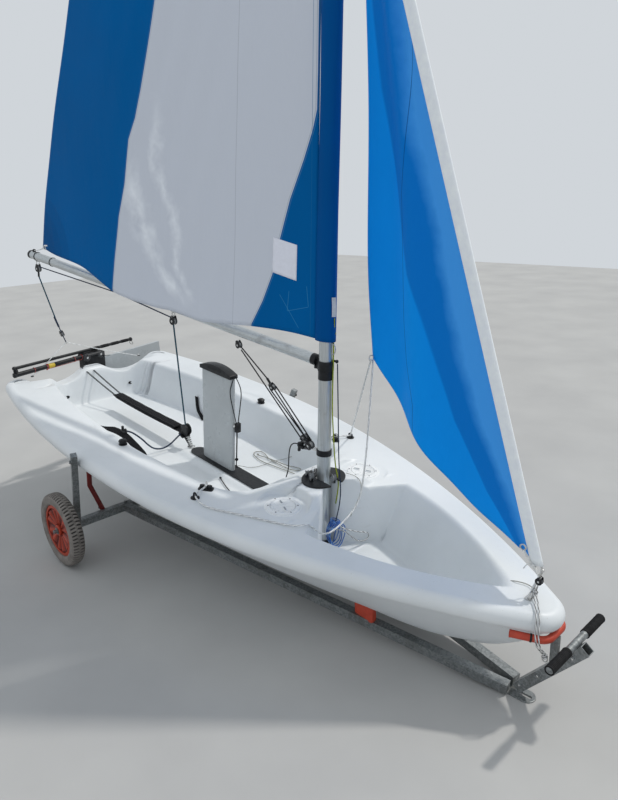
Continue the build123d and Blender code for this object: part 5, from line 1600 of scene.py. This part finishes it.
def wheels():
    """Tyres with two staggered rows of grooves, and rims of six ridged petals in a hollow dish."""
    section = curve_points([(24, 142), (31, 144), (34.5, 150), (36, 160), (35.8, 170), (34.5, 180), (31.5, 189),
                            (26, 195), (18, 198.5), (8, 199.8), (0, 200)], 25) / 1000
    section = np.concatenate([section, section[-2::-1] * (-1, 1)])
    around, lugs, groove, zigzag_groove = 704, 64, 0.0068, 0.003
    arms, hub, dish_edge = 6, 0.031, 0.1235
    for side, name in SIDES:
        centre = FLOOR @ shift(AXLE_X, side * HALF_TRACK, WHEEL_RADIUS)
        angle = np.linspace(0, 2 * pi, around, endpoint=False)[:, None]
        w, r = section[None, :, 0], section[None, :, 1]
        row = np.where(w > 0, 0.0, 0.5)
        phase = (angle / (2 * pi) * lugs + row + np.abs(w) * 9) % 1
        across = smooth(np.abs(w), 0.005, 0.008) * (1 - smooth(np.abs(w), 0.0275, 0.0315)) * smooth(r, 0.176, 0.186)
        cut = groove * across * smooth(0.5 - np.abs(phase - 0.5), 0.26, 0.36)
        zigzag = np.abs(w - 0.0026 * np.sin(angle * lugs))
        cut = np.maximum(cut, zigzag_groove * (1 - smooth(zigzag, 0.0012, 0.0028)))
        wall = 0.0009 * smooth(np.abs(w), 0.03, 0.033) * np.sin((r - 0.15) * 520) * (r < 0.182)
        deep = r - cut
        grid = np.stack([deep * np.cos(angle), w + wall * np.sign(w) + 0 * angle, deep * np.sin(angle)], axis=-1)
        # painted shade in the grooves, as much as they are cut
        piece = wheel_ring(centre, grid, cut / groove + 0 * deep, "tyre_" + name + "_tread", "wheel_" + name,
                           "tyre_rubber")
        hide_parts("tyre_" + name)

        theta = np.linspace(0, 2 * pi, 240, endpoint=False)[:, None]
        radii = np.concatenate([[0.0102], np.linspace(0.0125, 0.03, 5), [0.0315], np.linspace(0.034, 0.122, 26),
                                [0.1245], [0.127, 0.134, 0.14, 0.142]])[None]
        turned = theta * arms / (2 * pi)
        petal = 0.5 - np.abs(turned % 1 - 0.5)
        body = smooth(petal * radii, 0.0012, 0.0045) * smooth(radii, 0.032, 0.038) * (1 - smooth(radii, 0.114, 0.122))
        ridges = 0.5 - 0.5 * np.cos(2 * pi * np.clip((turned % 1 - 0.08) / 0.84, 0, 1) * 2)
        dish = 0.0085 + 0.01 * (radii - 0.03) / 0.1
        height = np.where(radii < hub, 0.028 - 0.003 * smooth(radii, 0.024, hub), 0)
        within = (radii >= hub) & (radii < dish_edge)
        height = np.where(within, dish + 0.01 * body * (0.35 + 0.65 * ridges), height)
        height = np.where(radii >= dish_edge, 0.028 - 0.0045 * smooth(radii, 0.134, 0.142), height)
        front = np.stack([radii * np.cos(theta), height + 0 * theta, radii * np.sin(theta)], axis=-1)
        grid = np.concatenate([front, (front * (1, -1, 1))[:, ::-1]], axis=1)
        # painted shade in the dish, less on the petals and their ridges
        hollow = np.where(within, 1 - body * (0.25 + 0.75 * ridges), 0.0) + 0 * theta
        piece = wheel_ring(centre, grid, np.concatenate([hollow, hollow[:, ::-1]], axis=1),
                           "rim_" + name + "_petals", "wheel_" + name, "rim_orange")
        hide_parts("rim_" + name)

        parts = Joined(centre @ turn(-90 * side, "X"))
        parts.add(lathe([(0.0104, 0.0295), (0.0185, 0.0295), (0.0185, 0.032), (0.0104, 0.032)], 28, True), ZINC)
        pin = [(0.014 * cos(a) - 0.004, 0.0, 0.038 + 0.003 * sin(2 * a)) for a in np.linspace(0, 2 * pi, 20)]
        parts.add(tube(pin[:-1], 0.0013, 6, True), STEEL)
        parts.turned([(0.0095, 0.0472), (0.0075, 0.0485), (0.002, 0.0487)], 24, ZINC)
        parts.finish("axle_end_" + name, "root", "steel_zinc")


def soft_block(name, x, y, z, centre):
    """A foam block with crowned faces and soft corners."""
    rows, sides, points = 25, 44, []
    for v in np.linspace(-1, 1, rows):
        bow = max((1 - abs(v) ** 7) ** (1 / 7), 0.86)
        dull = 1 + 0.05 * (1 - v * v)
        for a in ring_of(sides):
            c, s = cos(a), sin(a)
            k = (abs(c) ** 6 + abs(s) ** 6) ** (-1 / 6) * bow / 2
            dent = 1 - 0.035 * abs(v) ** 3 + 0.02 * sin(3 * a + 4 * v)
            points.append(place(centre, (c * k * x * dent, s * k * y * dull, v * z / 2)))
    piece = make_piece(name, points, skin(rows, sides), MATERIALS["red_pad"])
    return piece


def trolley_parts():
    """Soft blocks under the bottom, ribbed grips, bolts, and the ends of the red sleeves."""
    for side, name in SIDES:
        at = FLOOR @ shift(0.7714 * LENGTH, side * 0.137, 0.1215)
        pad = soft_block("beam_pad_" + name, 0.106, 0.03, 0.08, at)
        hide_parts("beam_pads")
    parts = Joined(FLOOR)
    for side in (-1, 1):
        at = shift(3.557, 0, 0.329) @ turn(-90 * side, "X")
        profile = [(0.0142, 0.066), (0.0178, 0.067), (0.0182, 0.07), (0.0165, 0.0725)]
        for k in range(17):
            z = 0.0735 + k * 0.0069
            profile += [(0.0163, z), (0.0176, z + 0.0016), (0.0176, z + 0.0042), (0.0163, z + 0.0058)]
        profile += [(0.018, 0.1935), (0.0182, 0.1955), (0.0168, 0.1975), (0.0125, 0.1975), (0.012, 0.188)]
        parts.turned(profile, 32, MATERIALS["grip_black"], at)
        parts.turned([(0.0122, 0.1925), (0.012, 0.1935), (0.0001, 0.1935)], 24, BLACK, at)
    piece = parts.finish("grips", "root", "grip_black", sharp=30)
    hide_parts("handle_grips")
    bolts = Joined(FLOOR)
    hexagon = [(0.0085 * cos(a), 0.0085 * sin(a)) for a in ring_of(6)]
    spots = []
    for side in (-1, 1):
        spots += [((1.325, side * 0.7575, 0.632), (0, side, 0.1)), ((1.136, side * 0.705, 0.24), (0, side, 0.1)),
                  ((1.094, side * 0.535, 0.232), (-1, 0, 0)), ((1.12, side * 0.395, 0.2205), (0, 0, 1))]
    for x, z in ((3.372, 0.06), (3.44, 0.14), (3.56, 0.28)):
        spots += [((x, side * 0.0205, z), (0, side, 0)) for side in (-1, 1)]
    for point, way in spots:
        at = looking_up(point, way, (0.3, 0.2, 1))
        bolts.turned([(0.012, -0.001), (0.012, 0.0012), (0.011, 0.0018)], 20, ZINC, at)
        bolts.add(plate(hexagon, 0.006, 0.001), ZINC, at @ shift(0, 0, 0.0048))
        bolts.turned([(0.0045, 0.007), (0.0045, 0.0105), (0.003, 0.0115)], 12, STEEL, at)
    bolts.finish("trolley_bolts", "root", "steel_zinc")
    sleeve = Joined(HULL)
    for side in (-1, 1):
        start = Vector((3.374, side * 0.125, 0.308))
        way = Vector((0.112, -side * 0.063, 0)).normalized()
        end = looking_up(start, -way)
        sleeve.turned([(0.0146, -0.002), (0.015, 0.0006), (0.014, 0.0016), (0.01, 0.0012), (0.0095, -0.008)], 24,
                      MATERIALS["red_pad"], end)
        sleeve.turned([(0.0094, -0.0075), (0.0001, -0.0078)], 20, BLACK, end)
        joint = looking_up(start + way * 0.072, way)
        cuff = [(0.0143, -0.004), (0.0158, -0.003), (0.0158, 0.003), (0.0143, 0.004)]
        sleeve.add(lathe(cuff, 28, True), BLACK, joint)
    sleeve.finish("snubber_ends", "root", "red_pad")


def rudder_fittings():
    """Bosses, pins and lines at the rudder head, the tiller's tape and cord, and the extension's ends."""
    parts = Joined(RUDDER)
    boss = plain("worn_black", (0.03, 0.031, 0.034), 0.5, vary=0.3, bump=0.0004)
    for x in (0.004, -0.112):
        for side in (-1, 1):
            at = shift(x, side * 0.0295, 0.436) @ turn(-90 * side, "X")
            parts.turned([(0.029, -0.004), (0.029, 0.004), (0.025, 0.007), (0.012, 0.0075)], 30, boss, at)
            parts.turned([(0.0085, 0.006), (0.0085, 0.0095), (0.006, 0.011)], 16, STEEL, at)
    for side in (-1, 1):
        parts.rod([(0.004, side * 0.034, 0.45), (-0.112, side * 0.034, 0.45)], 0.009, boss, 12)
    for side in (-1, 1):
        for z in (0.245, 0.3):
            parts.rod([(-0.112, side * 0.0275, z), (-0.112, side * 0.033, z)], 0.006, STEEL, 12)
    lift = [(-0.06, 0.033, 0.44), (-0.1, 0.036, 0.425), (-0.16, 0.036, 0.415), (-0.2, 0.026, 0.405)]
    parts.curve(lift, 0.0022, "black")
    parts.finish("rudder_head", "rudder", "black_plastic")
    parts = Joined(RUDDER)
    tiller = shift(0, 0, TILLER_HEIGHT) @ turn(90, "Y")
    yellow = plain("tape_yellow", (0.62, 0.44, 0.03), 0.45, vary=0.12, speckle=60.0, bump=0.0004)
    band = [(0.0151, 0.249), (0.0156, 0.2495), (0.0156, 0.2945), (0.0151, 0.295)]
    parts.add(lathe(band, 28, True), yellow, tiller)
    for side in (-1, 1):
        line = [(0.03, side * 0.01, 0.4262), (0.1, side * 0.008, 0.424), (0.2, side * 0.006, 0.4236),
                (0.3, side * 0.004, 0.4238)]
        parts.rod(curve_points(line, 24), 0.0021, "red", 6)
    for x in (0.028, 0.088, 0.302, 0.308, 0.4):
        parts.add(tube([(x + 0.0005 * sin(a * 3), 0.0165 * cos(a), TILLER_HEIGHT + 0.0165 * sin(a))
                        for a in ring_of(24)], 0.0019, 6, True), "red")
    knot(parts, (0.304, 0.0, 0.4215), 0.0065, "red")
    parts.turned([(0.0151, 0.53), (0.0165, 0.532), (0.0165, 0.546), (0.012, 0.549)], 28, BLACK, tiller)
    parts.finish("tiller_trim", "rudder", "black_plastic")
    parts = Joined(RUDDER)
    post = [(0.015, 0.4605), (0.0158, 0.4625), (0.0135, 0.465), (0.015, 0.4675), (0.013, 0.47), (0.0148, 0.4725),
            (0.0125, 0.4745)]
    parts.turned(post, 24, BLACK, shift(0.53, 0, 0))
    near, far = Vector((0.53, 0, 0.4853)), Vector((-0.42, 0, 0.4713))
    way = (far - near).normalized()
    at = looking_up(near - way * 0.004, -way)
    parts.turned([(0.0102, -0.006), (0.0125, -0.004), (0.0125, 0.01), (0.009, 0.014)], 24, BLACK, at)
    for k in range(4):
        grip = looking_up(near + way * (0.62 + 0.09 * k), way)
        parts.add(lathe([(0.01, -0.034), (0.0116, -0.032), (0.0119, 0.0), (0.0116, 0.032), (0.01, 0.034)], 24, True),
                  MATERIALS["grip_black"], grip)
    at = looking_up(far, way)
    parts.turned([(0.0102, -0.012), (0.0135, -0.008), (0.0155, 0.0), (0.0135, 0.007), (0.007, 0.01)], 24, BLACK, at)
    loop = [(-0.418, 0.004, 0.463), (-0.425, 0.012, 0.452), (-0.43, 0.016, 0.44), (-0.426, 0.008, 0.432),
            (-0.419, -0.003, 0.437), (-0.415, -0.008, 0.45), (-0.416, -0.004, 0.461)]
    parts.curve(loop, 0.0022, "grey")
    parts.finish("extension_ends", "tiller_extension", "black_plastic")


wheels()
trolley_parts()
rudder_fittings()
boom_tackle()
vang()
mast_lines()
mainsheet()
collar_blocks()
jib_sheets()
board_elastic()
floor_ropes()
toe_strap()
side_straps()
hatches()
rowlock_knobs()
cleats()
bow_gear()
furled_lines()


# Stage

def make_stage():
    mesh = bpy.data.meshes.new("stage_floor")
    size = 14.0
    mesh.from_pydata([(-size, -size, 0), (size, -size, 0), (size, size, 0), (-size, size, 0)], [], [(0, 1, 2, 3)])
    floor = link("stage_floor", mesh)
    p = Paint("stage_pale", (0.62, 0.62, 0.61), 0.85)
    p.mottle(p.noise(1.5, 4), (0.44, 0.44, 0.435), (0.5, 0.5, 0.49))
    mesh.materials.append(p.mat)
    world = bpy.data.worlds.new("studio")
    bpy.context.scene.world = world
    world.use_nodes = True
    background = world.node_tree.nodes["Background"]
    background.inputs["Color"].default_value = (0.9, 0.95, 1.0, 1)
    background.inputs["Strength"].default_value = 0.7
    sun = bpy.data.lights.new("sun", "SUN")
    sun.energy = 1.5
    sun.angle = math.radians(3)
    sun.color = (1.0, 0.96, 0.9)
    link("sun", sun).rotation_euler = Vector((-0.47, -0.93, -1.6)).to_track_quat("-Z", "Y").to_euler()
    bpy.context.scene.view_settings.view_transform = "Standard"


make_stage()
